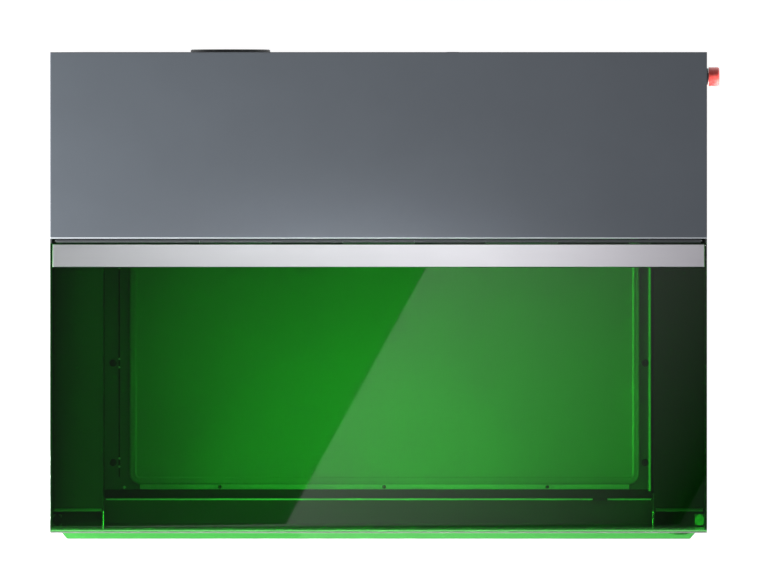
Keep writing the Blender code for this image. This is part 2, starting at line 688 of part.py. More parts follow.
# ---------------------------------------------------------------- lid and hinge
def make_lid_shield():
    path = bent([(LID_REAR, HEIGHT), (FRONT, HEIGHT), (FRONT, LID_BOTTOM)], LID_BEND, 6)
    lid = prism(ribbon(path, LID_SHEET), "X", (-HALF, HALF))
    root, tip = HALF - LIP_SHOULDER, HALF - LIP_SHOULDER - LIP_REACH + 1.2
    lip_outline = [(-root, FRONT + 1), (-root, FRONT), (-tip, FRONT - LIP_REACH)]
    lip_outline += [(-x, y) for x, y in reversed(lip_outline)]
    lip = prism(lip_outline, "Z", (LID_BOTTOM, LID_BOTTOM + LID_SHEET))
    join(lid, lip)
    trim = trim_ends(SEAT)
    recess = box(*trim, (HEIGHT - LID_SHEET / 2, HEIGHT + 5))
    finish(cut(lid, recess), "lid_shield", "green_acrylic", "lid_hinge")


def trim_ends(gap):
    """The X and Y ends of the trim bar, or with a gap those of the recess that it lies in."""
    rear = LID_REAR - TRIM_SETBACK
    half = HALF - 3
    return (-half - gap, half + gap), (rear - TRIM_DEPTH - gap, rear + gap)


def make_lid_trim_bar():
    bar = box(*trim_ends(0), (HEIGHT - LID_SHEET / 2 + SEAT, HEIGHT))
    finish(bevel_top(bar, 0.4, 1), "lid_trim_bar", "bright_aluminium", "lid_hinge")


KNUCKLES = 9
HINGE_END = HALF - 7


def knuckle_ends(index):
    length = 2 * HINGE_END / KNUCKLES
    start = -HINGE_END + index * length
    return start + SEAT / 2, start + length - SEAT / 2


def add_knuckles(leaf, indexes, tab_y, tab_z):
    """Joins knuckles to a hinge leaf, each on its own tab, and bores them for the pin."""
    pieces = []
    for index in indexes:
        ends = knuckle_ends(index)
        pieces.append(box(ends, tab_y, tab_z))
        pieces.append(cylinder("X", (HINGE_Y, HINGE_Z), KNUCKLE, ends, 16))
    join(leaf, *pieces)
    cut(leaf, cylinder("X", (HINGE_Y, HINGE_Z), PIN + SEAT, (-HALF, HALF), 12))


def make_hinge():
    fixed_y = (COVER_FRONT - SEAT - 1.2, COVER_FRONT - SEAT)
    below = HINGE_Z - KNUCKLE - RUN
    fixed = box((-HINGE_END, HINGE_END), fixed_y, (COVER_BOTTOM + 1, below))
    add_knuckles(fixed, range(0, KNUCKLES, 2), fixed_y, (below - 0.5, HINGE_Z))
    finish(fixed, "hinge_fixed_leaf", "black_steel")
    moving_z = (LID_UNDER - SEAT - 1.3, LID_UNDER - SEAT)
    moving = box((-HINGE_END, HINGE_END), (LID_REAR - 25, LID_REAR - 0.1), moving_z)
    add_knuckles(moving, range(1, KNUCKLES, 2), (LID_REAR - 0.6, HINGE_Y), moving_z)
    finish(moving, "hinge_moving_leaf", "black_steel", "lid_hinge")
    pin = cylinder("X", (HINGE_Y, HINGE_Z), PIN, (-HINGE_END - 1, HINGE_END + 1), 12)
    finish(pin, "hinge_pin", "bright_steel")


# ---------------------------------------------------------------- back, side and front fittings
def make_exhaust():
    centre = (FAN_X, FAN_Z)
    ring_y = (BACK_OUT + SEAT, REAR + OUTLET_REACH)
    ring = cylinder("Y", centre, OUTLET_RING, ring_y, 48)
    cut(ring, cylinder("Y", centre, DUCT, (BACK_OUT - 5, REAR + 20), 48))
    finish(ring, "exhaust_flange", "black_plastic")
    half = FAN / 2
    housing = box((FAN_X - half, FAN_X + half), (FAN_FRONT, BACK), (FAN_Z - half, FAN_Z + half))
    cut(housing, cylinder("Y", centre, FAN_BORE, (FAN_FRONT - 5, BACK + 5), 40))
    strut_y = (BACK - 2.4, BACK)
    reach = FAN_BORE + 1
    level = box((FAN_X - reach, FAN_X + reach), strut_y, (FAN_Z - 3, FAN_Z + 3))
    upright = box((FAN_X - 3, FAN_X + 3), strut_y, (FAN_Z - reach, FAN_Z + reach))
    hub = cylinder("Y", centre, 19, strut_y, 24)
    finish(join(housing, level, upright, hub), "fan_housing", "black_plastic")


def make_fan_impeller():
    blades = 7
    rear = BACK - 2.4 - RUN
    front = FAN_FRONT + 3.6
    middle = (front + rear) / 2
    wheel = cylinder("Y", (FAN_X, FAN_Z), 17, (front, rear), 28)
    root, tip, chord, thick = 15, FAN_BORE - 2.7, 20, 2
    pitch = math.radians(40)
    made = []
    for index in range(blades):
        blade = box((root, tip), (-thick / 2, thick / 2), (-chord / 2, chord / 2))
        place = Matrix.Translation(Vector((FAN_X, middle, FAN_Z)) * MM)
        around = Matrix.Rotation(2 * math.pi * index / blades, 4, "Y")
        blade.data.transform(place @ around @ Matrix.Rotation(pitch, 4, "X"))
        made.append(blade)
    finish(join(wheel, *made), "fan_impeller", "black_plastic", "fan_axis")


def make_main_board():
    right = CHAMBER - 14.5
    left = right - 205
    front, rear = SHAFT_Y - 16.8, PAN_REAR - SHEET - 0.6
    board = box((left, right), (front, rear), (BOARD_Z, BOARD_Z + 1.6))
    top = BOARD_Z + 1.1
    pieces = []
    for x in (left + 5, right - 5):
        for y in (front + 5, rear - 6):
            pieces.append(cylinder("Z", (x, y), 3, (ON_FLOOR, BOARD_Z + 0.5), 12))
    pieces.append(box((SOCKET_X - 6, SOCKET_X + 6), (rear - 15, BACK_OUT + 1.5), (top, BOARD_Z + 12.2)))
    pieces.append(box((right - 60, right - 25), (front + 8, front + 28), (top, BOARD_Z + 10)))
    for index in range(4):
        x = left + 30 + index * 24
        pieces.append(box((x, x + 15), (front + 14, front + 29), (top, BOARD_Z + 7)))
    finish(join(board, *pieces), "main_board", "board_green")


def make_power_entry():
    plate_y = (BACK_OUT + SEAT, REAR - 0.1)
    plate = box((INLET_X - 10, INLET_X + 65), plate_y, (POWER_Z - 27, POWER_Z + 17))
    body = box((INLET_X - 5, INLET_X + 60), (BACK - 18.4, plate_y[0] + 0.5), (POWER_Z - 22, POWER_Z + 12))
    collar = cylinder("Y", (INLET_X, POWER_Z - 5), 7, (plate_y[0] + 0.5, REAR + 1.3))
    join(plate, body, collar)
    pocket = box((ROCKER_X - 6.5, ROCKER_X + 6.5), (BACK - 9.4, REAR + 5), (POWER_Z - 10, POWER_Z + 10))
    bore = cylinder("Y", (INLET_X, POWER_Z - 5), 4.2, (BACK - 8.4, REAR + 5))
    cut(plate, pocket, bore)
    contact = cylinder("Y", (INLET_X, POWER_Z - 5), 1.2, (BACK - 10, REAR - 1), 12)
    finish(join(plate, contact), "power_entry", "black_plastic")


ROCKER_Y = BACK - 4.4
ROCKER_TILT = 8.0


def make_power_rocker():
    rocker = box((-6, 6), (-2, 7.2), (-8.6, 8.6))
    place = Matrix.Translation(Vector((ROCKER_X, ROCKER_Y, POWER_Z)) * MM)
    rocker.data.transform(place @ Matrix.Rotation(math.radians(ROCKER_TILT), 4, "X"))
    finish(rocker, "power_rocker", "black_plastic", "rocker")


def make_emergency_stop():
    centre = (STOP_Y, STOP_Z)
    flange = cylinder("X", centre, STOP_CAP - 1.4, (HALF + SEAT, HALF + 2.1))
    barrel = cylinder("X", centre, STOP_CAP - 3.2, (HALF - 20, HALF + 1))
    contacts = box((HALF - 25, INSIDE), (STOP_Y - 13, STOP_Y + 13), (STOP_Z - 13, STOP_Z + 13))
    base = join(flange, barrel, contacts)
    cut(base, cylinder("X", centre, 4 + RUN, (HALF - 23, HALF + 10), 20))
    finish(base, "estop_base", "black_plastic")
    stem = cylinder("X", centre, 4, (HALF - 20.5, HALF + STOP_REACH - 3), 20)
    finish(stem, "estop_stem", "black_plastic", "estop")
    cap = cylinder("X", centre, STOP_CAP, (HALF + 2.5, HALF + STOP_REACH), 32)
    hollow = cylinder("X", centre, STOP_CAP - 1, (HALF - 5, HALF + STOP_REACH - 3.5), 32)
    hub = cylinder("X", centre, 6.2, (HALF + 5, HALF + STOP_REACH - 1), 24)
    join(cut(cap, hollow), hub)
    cut(cap, cylinder("X", centre, 4 + SEAT, (HALF - 5, HALF + STOP_REACH - 2.7), 20))
    finish(cap, "estop_cap", "red_plastic", "estop_twist")


def make_start_button():
    centre = (BUTTON_X, BUTTON_Z)
    ring = cylinder("Y", centre, BUTTON + 3, (FRONT - 1.8, FRONT - SEAT))
    barrel = cylinder("Y", centre, BUTTON + 1.4, (FRONT - 1, FRONT + 12.5))
    bezel = cut(join(ring, barrel), cylinder("Y", centre, BUTTON + RUN, (FRONT - 8, FRONT + 20)))
    finish(bezel, "start_button_bezel", "aluminium")
    cap = cylinder("Y", centre, BUTTON, (FRONT - 2.7, FRONT + 13.5))
    collar = cylinder("Y", centre, BUTTON + 1.2, (FRONT + 12.8, FRONT + 14.5))
    finish(join(cap, collar), "start_button", "black_plastic", "start")


def make_corner_posts():
    """The status light on the right and the lid sensor on the left stand on the front sill."""
    y = (FRONT + 6.5, FRONT + 20.5)
    z = (SILL + SEAT, SILL + 38)
    for name, side, look in (("lid_sensor", -1, "black_plastic"), ("status_light", 1, "light_green")):
        post = box(side_span(side, INSIDE - 10, INSIDE - SEAT), y, z)
        window = box(side_span(side, INSIDE - 11, INSIDE - 8.8), (y[0] + 3, y[1] - 3), (z[0] + 4, z[1] - 4))
        finish(cut(post, window), name, look)


def make_flame_sensor():
    """A small sensor that clips over the hem of the baffle."""
    top, bottom = baffle_slope()
    down = (bottom - top).normalized()
    out = Vector((down.y, -down.x))
    inner = BAFFLE + SEAT
    seat = top + out * SEAT
    hem = seat + down * ((inner - seat.x) / down.x)
    toe = seat + down * 7
    over = HEM + 2.4
    outline = [(inner, HEM - 7), (inner + THIN, HEM - 7), (inner + THIN, over), (BAFFLE - 2.4, over)]
    outline += [tuple(toe + out * 3.2), tuple(toe), tuple(hem)]
    finish(prism(outline, "X", (HALF - 130, HALF - 113)), "flame_sensor", "black_plastic")


# ---------------------------------------------------------------- the whole machine
def make_materials():
    material("grey_paint", (104, 108, 114), 0.45, 0.3)
    material("black_steel", (34, 36, 38), 0.5, 0.2)
    material("black_plastic", (28, 29, 31), 0.5)
    material("bright_aluminium", (205, 208, 210), 0.3, 1.0)
    material("aluminium", (178, 181, 184), 0.4, 1.0)
    material("black_aluminium", (38, 40, 43), 0.45, 0.6)
    material("bright_steel", (190, 192, 195), 0.25, 1.0)
    material("bed_steel", (120, 124, 124), 0.4, 0.8)
    material("motor_black", (24, 24, 26), 0.45, 0.4)
    material("belt_rubber", (22, 22, 22), 0.8)
    material("rubber", (26, 26, 27), 0.85)
    material("green_acrylic", (40, 150, 50), 0.1, 0.0, 0.5)
    material("board_green", (24, 92, 52), 0.5)
    material("red_plastic", (196, 28, 30), 0.35)
    material("light_green", (60, 220, 70), 0.3)


def make_pivots():
    pivot("machine", (0, 0, 0))
    pivot("lid_hinge", (0, HINGE_Y, HINGE_Z), "machine")
    pivot("gantry", (0, BELT_Y, BEAM_Z), "machine")
    pivot("carriage", (HEAD_X, CARRIAGE, BEAM_Z), "gantry")
    pivot("head", (HEAD_X, HEAD_BACK, HEAD_Z), "carriage")
    pivot("z_screw_axis", (SCREW_X, SCREW_Y, HEAD_Z), "carriage")
    pivot("x_drive", (X_MOTOR, BELT_Y, BELT_Z), "gantry")
    pivot("x_idler_pin", (X_IDLER, BELT_Y, BELT_Z), "gantry")
    pivot("y_shaft", (0, SHAFT_Y, SHAFT_Z), "machine")
    for name, side in SIDES.items():
        pivot(f"{name}_idler", (side * DRIVE_X, IDLER_Y, SHAFT_Z), "machine")
    pivot("fan_axis", (FAN_X, FAN_FRONT, FAN_Z), "machine")
    pivot("rocker", (ROCKER_X, ROCKER_Y, POWER_Z), "machine")
    pivot("estop", (HALF, STOP_Y, STOP_Z), "machine")
    pivot("estop_twist", (HALF, STOP_Y, STOP_Z), "estop")
    pivot("start", (BUTTON_X, FRONT, BUTTON_Z), "machine")


def main():
    for old in list(bpy.data.objects):
        bpy.data.objects.remove(old)
    make_materials()
    make_pivots()
    make_base_pan()
    make_feet()
    make_side_panels()
    make_rear_panel()
    make_rear_top_cover()
    make_front_skirt()
    make_front_baffle()
    make_inner_walls()
    make_rail_covers()
    make_rear_partition()
    make_deck_frame()
    make_bed_plate()
    make_y_rails()
    make_y_belts()
    make_y_motor()
    make_shaft_bearings()
    make_idler_brackets()
    make_y_drive_shaft()
    make_y_idlers()
    make_trucks()
    make_x_beam()
    make_x_rail()
    make_x_motor()
    make_x_belt()
    make_x_pulleys()
    make_head_carriage()
    make_z_screw()
    make_laser_module()
    make_lid_shield()
    make_lid_trim_bar()
    make_hinge()
    make_exhaust()
    make_fan_impeller()
    make_main_board()
    make_power_entry()
    make_power_rocker()
    make_emergency_stop()
    make_start_button()
    make_corner_posts()
    make_flame_sensor()
    stand = Vector((-STOP_REACH / 2, (LIP_REACH - OUTLET_REACH) / 2, 0))
    bpy.data.objects["machine"].location = stand * MM


main()
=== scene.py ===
# %% [markdown]
# # A desktop laser cutter
#
# The machine is a low steel box. A painted cover shuts in its rear third, and a tinted acrylic lid
# hinges in front of the cover. Under the lid lie a flat bed, a gantry on two rails and a laser head.
# The solid model already holds every piece at its true size. This file keeps those solids, gives
# each one its finish, and models again the few pieces whose bends, rims and grooves need finer meshes.

# %% The frame
import json
import math

import bmesh
import bpy
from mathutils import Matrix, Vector

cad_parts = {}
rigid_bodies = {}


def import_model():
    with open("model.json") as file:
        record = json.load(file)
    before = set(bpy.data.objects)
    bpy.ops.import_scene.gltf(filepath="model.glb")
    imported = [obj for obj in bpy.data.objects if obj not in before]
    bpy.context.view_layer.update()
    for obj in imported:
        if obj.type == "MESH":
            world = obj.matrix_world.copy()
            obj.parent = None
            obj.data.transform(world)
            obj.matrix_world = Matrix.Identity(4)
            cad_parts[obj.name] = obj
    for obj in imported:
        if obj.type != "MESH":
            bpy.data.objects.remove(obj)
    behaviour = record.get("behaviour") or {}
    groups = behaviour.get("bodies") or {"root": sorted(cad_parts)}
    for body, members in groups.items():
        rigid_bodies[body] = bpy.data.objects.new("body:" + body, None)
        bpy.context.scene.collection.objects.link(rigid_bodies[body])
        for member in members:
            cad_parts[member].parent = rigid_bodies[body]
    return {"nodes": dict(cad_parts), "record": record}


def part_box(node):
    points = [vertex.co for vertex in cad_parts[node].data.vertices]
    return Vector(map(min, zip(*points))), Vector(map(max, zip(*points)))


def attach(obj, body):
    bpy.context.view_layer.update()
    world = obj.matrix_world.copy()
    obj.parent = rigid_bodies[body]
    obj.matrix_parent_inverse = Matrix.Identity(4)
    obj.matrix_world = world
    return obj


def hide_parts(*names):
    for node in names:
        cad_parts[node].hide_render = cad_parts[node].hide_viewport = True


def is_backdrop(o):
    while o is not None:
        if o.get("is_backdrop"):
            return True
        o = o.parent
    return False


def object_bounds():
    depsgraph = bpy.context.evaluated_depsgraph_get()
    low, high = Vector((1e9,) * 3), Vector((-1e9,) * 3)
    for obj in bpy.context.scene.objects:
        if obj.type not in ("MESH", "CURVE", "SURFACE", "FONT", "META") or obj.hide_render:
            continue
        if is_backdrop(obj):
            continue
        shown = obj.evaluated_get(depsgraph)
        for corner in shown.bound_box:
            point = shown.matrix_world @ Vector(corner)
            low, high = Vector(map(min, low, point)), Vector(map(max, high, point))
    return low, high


for old in list(bpy.data.objects):
    bpy.data.objects.remove(old)
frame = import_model()
CAD_BOX = [list(corner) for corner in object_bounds()]
MM = 0.001

# %% [markdown]
# ## Places
#
# Every size below is either read from a solid's box or is a real size in millimetres. Reading the
# boxes, and not typing their numbers again, keeps the fine pieces in line with the solids.


# %% Reading a solid's box
def ends(node):
    """The ends of a solid along X, Y and Z."""
    low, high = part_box(node)
    return tuple(zip(low, high))


def middle(pair):
    return (pair[0] + pair[1]) / 2


LID_X, LID_Y, LID_Z = ends("lid_shield")
COVER_X, COVER_Y, COVER_Z = ends("rear_top_cover")
TRIM_X, TRIM_Y = ends("lid_trim_bar")[:2]
BED_X, BED_Y, BED_Z = ends("bed_plate")
BAFFLE_X, BAFFLE_Y, BAFFLE_Z = ends("front_baffle")
HEAD_X, HEAD_Y, HEAD_Z = ends("laser_module")
CENTRE_X = middle(COVER_X)
print("lid", [round((high - low) / MM, 1) for low, high in (LID_X, LID_Y, LID_Z)], "mm")

# %% [markdown]
# ## Camera and light
#
# The camera looks straight down from far above. From there, edges at different heights line up as
# they do on a drawing. A near camera would show the inner walls leaning outwards. Moving it away
# and using a long lens is better here than an orthographic camera, which other views can't use.

# %% The camera
CAMERA_HEIGHT = 30.0
VIEW_WIDTH = 0.879
SENSOR = 36.0
AIM_SHIFT = Vector((7.4, 7.9, 0)) * MM


def put_in_scene(made):
    bpy.context.scene.collection.objects.link(made)


below = Vector((CENTRE_X, middle((LID_Y[0], COVER_Y[1])), 0)) + AIM_SHIFT

camera_data = bpy.data.cameras.new("camera")
camera_data.sensor_width = SENSOR
camera_data.lens = SENSOR * CAMERA_HEIGHT / VIEW_WIDTH
camera_data.clip_end = 200
camera = bpy.data.objects.new("camera", camera_data)
camera.location = below + Vector((0, 0, LID_Z[1] + CAMERA_HEIGHT))
put_in_scene(camera)
bpy.context.scene.camera = camera
print("camera", [round(value, 3) for value in camera.location], "lens", round(camera_data.lens), "mm")

# %% [markdown]
# The studio has pale walls and a dark ceiling, so that acrylic and metal seen from above stay deep
# in colour. A soft key light stands low at the left, with a weak one above it. It makes that end of
# the paint the brightest and hardly reaches down into the chamber. A narrow soft light overhead fills
# the chamber instead. A long low strip in front lights the folds that face the front, and a narrow
# spot at the right lights the stop button. The light overhead and the strip are left out of mirrors,
# because level acrylic would show them as white patches.


# %% Lights
def area_light(name, place, aim, size, watts, spread=180, mirrored=True):
    """A rectangular soft light at place, facing aim. Its beam opens to spread degrees."""
    data = bpy.data.lights.new(name, "AREA")
    data.shape = "RECTANGLE"
    data.size, data.size_y = size
    data.energy = watts
    data.spread = math.radians(spread)
    light = bpy.data.objects.new(name, data)
    light.location = place
    light.rotation_euler = (Vector(place) - Vector(aim)).to_track_quat("Z", "Y").to_euler()
    light.visible_camera = False
    light.visible_glossy = mirrored
    light.visible_transmission = mirrored
    put_in_scene(light)


area_light("key_light", (-1.25, -0.3, 0.5), (-0.1, 0.1, 0.15), (0.4, 0.4), 35)
area_light("high_light", (-0.82, -0.3, 0.9), (-0.1, -0.1, 0.1), (0.6, 0.6), 5)
area_light("chamber_light", (-0.035, -0.245, 1.3), (-0.035, -0.245, 0), (0.25, 0.25), 1.7, 33,
           mirrored=False)
area_light("front_strip", (0.1, -1.1, 0.6), (0, -0.2, 0.1), (1.8, 0.25), 4, mirrored=False)
area_light("button_light", (0.62, -0.35, 0.3), (0.384, 0.249, 0.12), (0.05, 0.05), 0.042, 8)
bpy.context.scene.view_settings.view_transform = "Standard"

# %% [markdown]
# ## Materials
#
# Colours are written as the sRGB hex values that a paint chart or a screen gives, and one function
# turns them into the linear values that light is added up in. One more function adds a shader node
# with its settings and links, so that each material below reads as a short list of steps.


# %% Colours and nodes
def linear(colour):
    """Linear red, green, blue and alpha from an sRGB hex colour."""
    channels = [int(colour[i:i + 2], 16) / 255 for i in (0, 2, 4)]
    return (*[((c + 0.055) / 1.055) ** 2.4 if c > 0.04045 else c / 12.92 for c in channels], 1)


def add_node(tree, kind, inputs=None, **settings):
    """Adds a shader node. Each input is given a value, or the socket that feeds it."""
    made = tree.nodes.new("ShaderNode" + kind)
    for name, value in settings.items():
        setattr(made, name, value)
    for name, value in (inputs or {}).items():
        if isinstance(value, bpy.types.NodeSocket):
            tree.links.new(value, made.inputs[name])
        else:
            made.inputs[name].default_value = value
    return made


def start_material(name):
    made = bpy.data.materials.new(name)
    made.use_nodes = True
    made.node_tree.nodes.clear()
    return made, made.node_tree


def per_metre(size_mm):
    """The noise scale that gives spots of this size in millimetres."""
    return 1 / (size_mm * MM)


# %% [markdown]
# The room is drawn by the world shader: the height of the direction looked at runs from the pale
# walls at the horizon to the dark ceiling overhead.

# %% The room
world = bpy.data.worlds.new("studio_room")
world.use_nodes = True
tree = world.node_tree
tree.nodes.clear()
way = add_node(tree, "TexCoord").outputs["Generated"]
height = add_node(tree, "SeparateXYZ", {"Vector": way}).outputs["Z"]
WALL_GLOW, TOP_GLOW = 0.55, 0.12
shade = add_node(tree, "MapRange", {"Value": height, "From Min": 0.1, "From Max": 0.9,
                                    "To Min": WALL_GLOW, "To Max": TOP_GLOW})
room = add_node(tree, "Background", {"Color": (0.94, 0.97, 1.0, 1), "Strength": shade.outputs["Result"]})
add_node(tree, "OutputWorld", {"Surface": room.outputs["Background"]})
bpy.context.scene.world = world
print("room from", WALL_GLOW, "at the walls to", TOP_GLOW, "overhead")

# %% [markdown]
# Acrylic mirrors one part in 25 of what hangs above it. One glowing panel hangs above the lid's right
# side, with its straight edge slanting across the lid, and it fades away to the right. A second one
# gives the aluminium bar its bright middle. Both are seen only in mirrors: they light nothing.


# %% Panels that are mirrored
def mirrored_panel(name, centre, size, turn, near, far, tint):
    """A level glowing panel. Its glow runs from near on its own -X side to far on its +X side."""
    made, tree = start_material(name)
    across = add_node(tree, "SeparateXYZ", {"Vector": add_node(tree, "TexCoord").outputs["Object"]})
    fade = add_node(tree, "MapRange", {"Value": across.outputs["X"], "From Min": -size[0] / 2,
                                       "From Max": size[0] / 2, "To Min": near, "To Max": far})
    glow = add_node(tree, "Emission", {"Color": tint, "Strength": fade.outputs["Result"]})
    add_node(tree, "OutputMaterial", {"Surface": glow.outputs["Emission"]})
    x, y = size[0] / 2, size[1] / 2
    mesh = bpy.data.meshes.new(name)
    mesh.from_pydata([(-x, -y, 0), (-x, y, 0), (x, y, 0), (x, -y, 0)], [], [(0, 1, 2, 3)])
    mesh.materials.append(made)
    panel = bpy.data.objects.new(name, mesh)
    panel.location = centre
    panel.rotation_euler = (0, 0, turn)
    panel.visible_camera = False
    panel.visible_diffuse = False
    panel.visible_transmission = False
    panel.visible_shadow = False
    put_in_scene(panel)
    panel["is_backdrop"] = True


PANEL_LIFT = 1.0
PANEL_SIZE = (0.42, 1.8)
LID_GLOW, BAR_GLOW = 1.29, 2.6
edge_top = Vector((55.0, 29.0, 0)) * MM
edge_foot = Vector((-90.0, -279.0, 0)) * MM
along_edge = (edge_top - edge_foot).normalized()
across_edge = Vector((along_edge.y, -along_edge.x, 0))
overhead = Vector((CENTRE_X, 0, LID_Z[1] + PANEL_LIFT))
mirrored_panel("lid_panel", (edge_top + edge_foot) / 2 + across_edge * PANEL_SIZE[0] / 2 + overhead,
               PANEL_SIZE, -math.atan2(along_edge.x, along_edge.y), LID_GLOW, 0.0, (1.0, 0.93, 1.0, 1))
mirrored_panel("bar_panel", overhead + Vector((-0.045, TRIM_Y[1] + 0.11, 0)), (0.5, 0.2), 0,
               BAR_GLOW, BAR_GLOW, (0.99, 0.99, 1.0, 1))
print("panels hang", PANEL_LIFT, "m above the lid")

# %% [markdown]
# Paint, moulded plastic and rubber are all matt or satin surfaces without a grain direction. What
# tells them apart is the size and depth of their small relief and how much their gloss varies. Two
# layers of noise do this: a broad one shifts the colour a little, and a fine one drives the
# roughness and the bump. On the machine the fine relief is about 0.5 mm across. It is drawn 2 to 3
# mm across, the finest that shows at this size.


# %% Paint, plastic and rubber
def satin(name, colour, roughness, grain_mm, relief_mm, shift=0.06, metallic=0.0, coat=0.0):
    """An even surface with a fine relief, whose colour shifts slightly over 60 mm."""
    made, tree = start_material(name)
    where = add_node(tree, "TexCoord").outputs["Object"]
    broad = add_node(tree, "TexNoise", {"Vector": where, "Scale": per_metre(60), "Detail": 3})
    fine = add_node(tree, "TexNoise", {"Vector": where, "Scale": per_metre(grain_mm), "Detail": 2})
    base = linear(colour)
    dark = [c * (1 - shift) for c in base[:3]] + [1]
    light = [min(c * (1 + shift), 1) for c in base[:3]] + [1]
    tone = add_node(tree, "Mix", {"Factor": broad.outputs["Fac"], "A": dark, "B": light}, data_type="RGBA")
    rough = add_node(tree, "MapRange", {"Value": fine.outputs["Fac"], "From Min": 0.3, "From Max": 0.7,
                                        "To Min": roughness - 0.06, "To Max": roughness + 0.06})
    bump = add_node(tree, "Bump", {"Height": fine.outputs["Fac"], "Strength": 0.5,
                                   "Distance": relief_mm * MM})
    shader = add_node(tree, "BsdfPrincipled", {"Base Color": tone.outputs["Result"], "Metallic": metallic,
                                               "Roughness": rough.outputs["Result"],
                                               "Coat Weight": coat, "Normal": bump.outputs["Normal"]})
    add_node(tree, "OutputMaterial", {"Surface": shader.outputs["BSDF"]})
    return made


# Powder coat is a plastic powder melted on steel. It flows into a faint orange peel with a satin gloss.
grey_powder_coat = satin("grey_powder_coat", "5D636A", 0.42, 2.6, 0.05)
black_powder_coat = satin("black_powder_coat", "3E4043", 0.5, 2.4, 0.03, 0.1)
# ABS comes from a spark-eroded mould, which leaves an even matt grain.
moulded_abs = satin("moulded_abs", "2E3032", 0.5, 2.0, 0.02, 0.1)
# A motor's steel stack is painted thinly, so it stays a little metallic.
motor_paint = satin("motor_paint", "18191B", 0.42, 2.2, 0.03, 0.12, 0.3)
# Black anodising dyes the aluminium's own oxide, which keeps the metal's sheen under the black.
black_anodised = satin("black_anodised", "2A2C2F", 0.4, 2.0, 0.03, 0.1, 0.7)
# Rubber and the belt's neoprene are dull and slightly dusty.
foot_rubber = satin("foot_rubber", "161616", 0.85, 2.2, 0.08, 0.15)
belt_neoprene = satin("belt_neoprene", "141414", 0.78, 2.0, 0.05, 0.15)
# The stop button is a glossy polyamide, moulded in a polished tool.
red_polyamide = satin("red_polyamide", "FF5650", 0.26, 3.0, 0.01, 0.04, 0.0, 0.8)
print("satin materials", len(bpy.data.materials))

# %% [markdown]
# Bare metal gets its look from the direction of its tool marks. Brushing leaves long parallel
# scratches, so light spreads across them and stays sharp along them. Stretched noise draws that:
# the coordinates are squeezed along the brushing before the noise is read. Real scratches are
# about 0.1 mm apart, and here they are drawn 1.2 mm apart, which is the finest that shows.


# %% Brushed and ground metal
def brushed(name, colour, roughness, scratch_mm, relief_mm, along=0, metallic=1.0, depth=0.12):
    """Metal with scratches that run along X (0), Y (1) or Z (2)."""
    made, tree = start_material(name)
    where = add_node(tree, "TexCoord").outputs["Object"]
    squeeze = [1.0, 1.0, 1.0]
    squeeze[along] = 0.02
    run = add_node(tree, "Mapping", {"Vector": where, "Scale": squeeze}).outputs["Vector"]
    marks = add_node(tree, "TexNoise", {"Vector": run, "Scale": per_metre(scratch_mm), "Detail": 3})
    clouds = add_node(tree, "TexNoise", {"Vector": where, "Scale": per_metre(45), "Detail": 2})
    base = linear(colour)
    dull = [c * (1 - depth) for c in base[:3]] + [1]
    tone = add_node(tree, "Mix", {"Factor": marks.outputs["Fac"], "A": dull, "B": base}, data_type="RGBA")
    cloud = add_node(tree, "MapRange", {"Value": clouds.outputs["Fac"], "From Min": 0.3, "From Max": 0.7,
                                        "To Min": -depth / 3, "To Max": depth / 3})
    mark = add_node(tree, "MapRange", {"Value": marks.outputs["Fac"], "From Min": 0.3, "From Max": 0.7,
                                       "To Min": roughness - depth / 2, "To Max": roughness + depth / 2})
    rough = add_node(tree, "Math", {0: mark.outputs["Result"], 1: cloud.outputs["Result"]}, operation="ADD")
    bump = add_node(tree, "Bump", {"Height": marks.outputs["Fac"], "Strength": 0.4,
                                   "Distance": relief_mm * MM})
    shader = add_node(tree, "BsdfPrincipled", {"Base Color": tone.outputs["Result"], "Metallic": metallic,
                                               "Roughness": rough.outputs["Value"],
                                               "Normal": bump.outputs["Normal"]})
    add_node(tree, "OutputMaterial", {"Surface": shader.outputs["BSDF"]})
    return made


# The bar across the lid is brushed along its length and clear anodised, which softens its mirror.
brushed_aluminium = brushed("brushed_aluminium", "DCDEE0", 0.3, 1.2, 0.0002, 0, 1.0, 0.03)
# Milled brackets and trucks keep short cutter marks.
milled_aluminium = brushed("milled_aluminium", "B7BABD", 0.42, 1.6, 0.02, 1)
# Rails and shafts are ground and hardened, brighter and finer than milled metal.
ground_steel = brushed("ground_steel", "C2C4C6", 0.24, 1.2, 0.01, 1)
# The bed is zinc-plated sheet: half metal, half a pale bloom that scatters the light.
zinc_plated_sheet = brushed("zinc_plated_sheet", "C9CECB", 0.48, 2.2, 0.02, 1, 0.25, 0.06)
# A near-white finish, not set as metallic, so that it stays pale where it mirrors nothing bright.
# Its pale colour is a painted highlight: it stands for the glint of bright metal on folds, pins and
# the stop bar.
painted_highlight_white = brushed("painted_highlight_white", "FCFDFC", 0.3, 1.6, 0.005, 0, 0.0, 0.02)
polished_steel = brushed("polished_steel", "DADCDD", 0.16, 1.2, 0.005, 0, 1.0, 0.05)
print("metals", [m.name for m in bpy.data.materials if "steel" in m.name or "aluminium" in m.name])

# %% [markdown]
# The lid is cast acrylic, dyed to stop the laser's violet light, so it passes green and little
# else. Light crosses it twice: once going in and once coming out. A glass shader tints what is seen
# through it, but it would block the lamps, whose rays Cycles traces as shadows. A Light Path node
# therefore gives shadow rays a plain transparent shader, tinted by the root of the same colour,
# because a ray crosses two faces of the sheet. A faint unevenness keeps its mirror from looking dead.

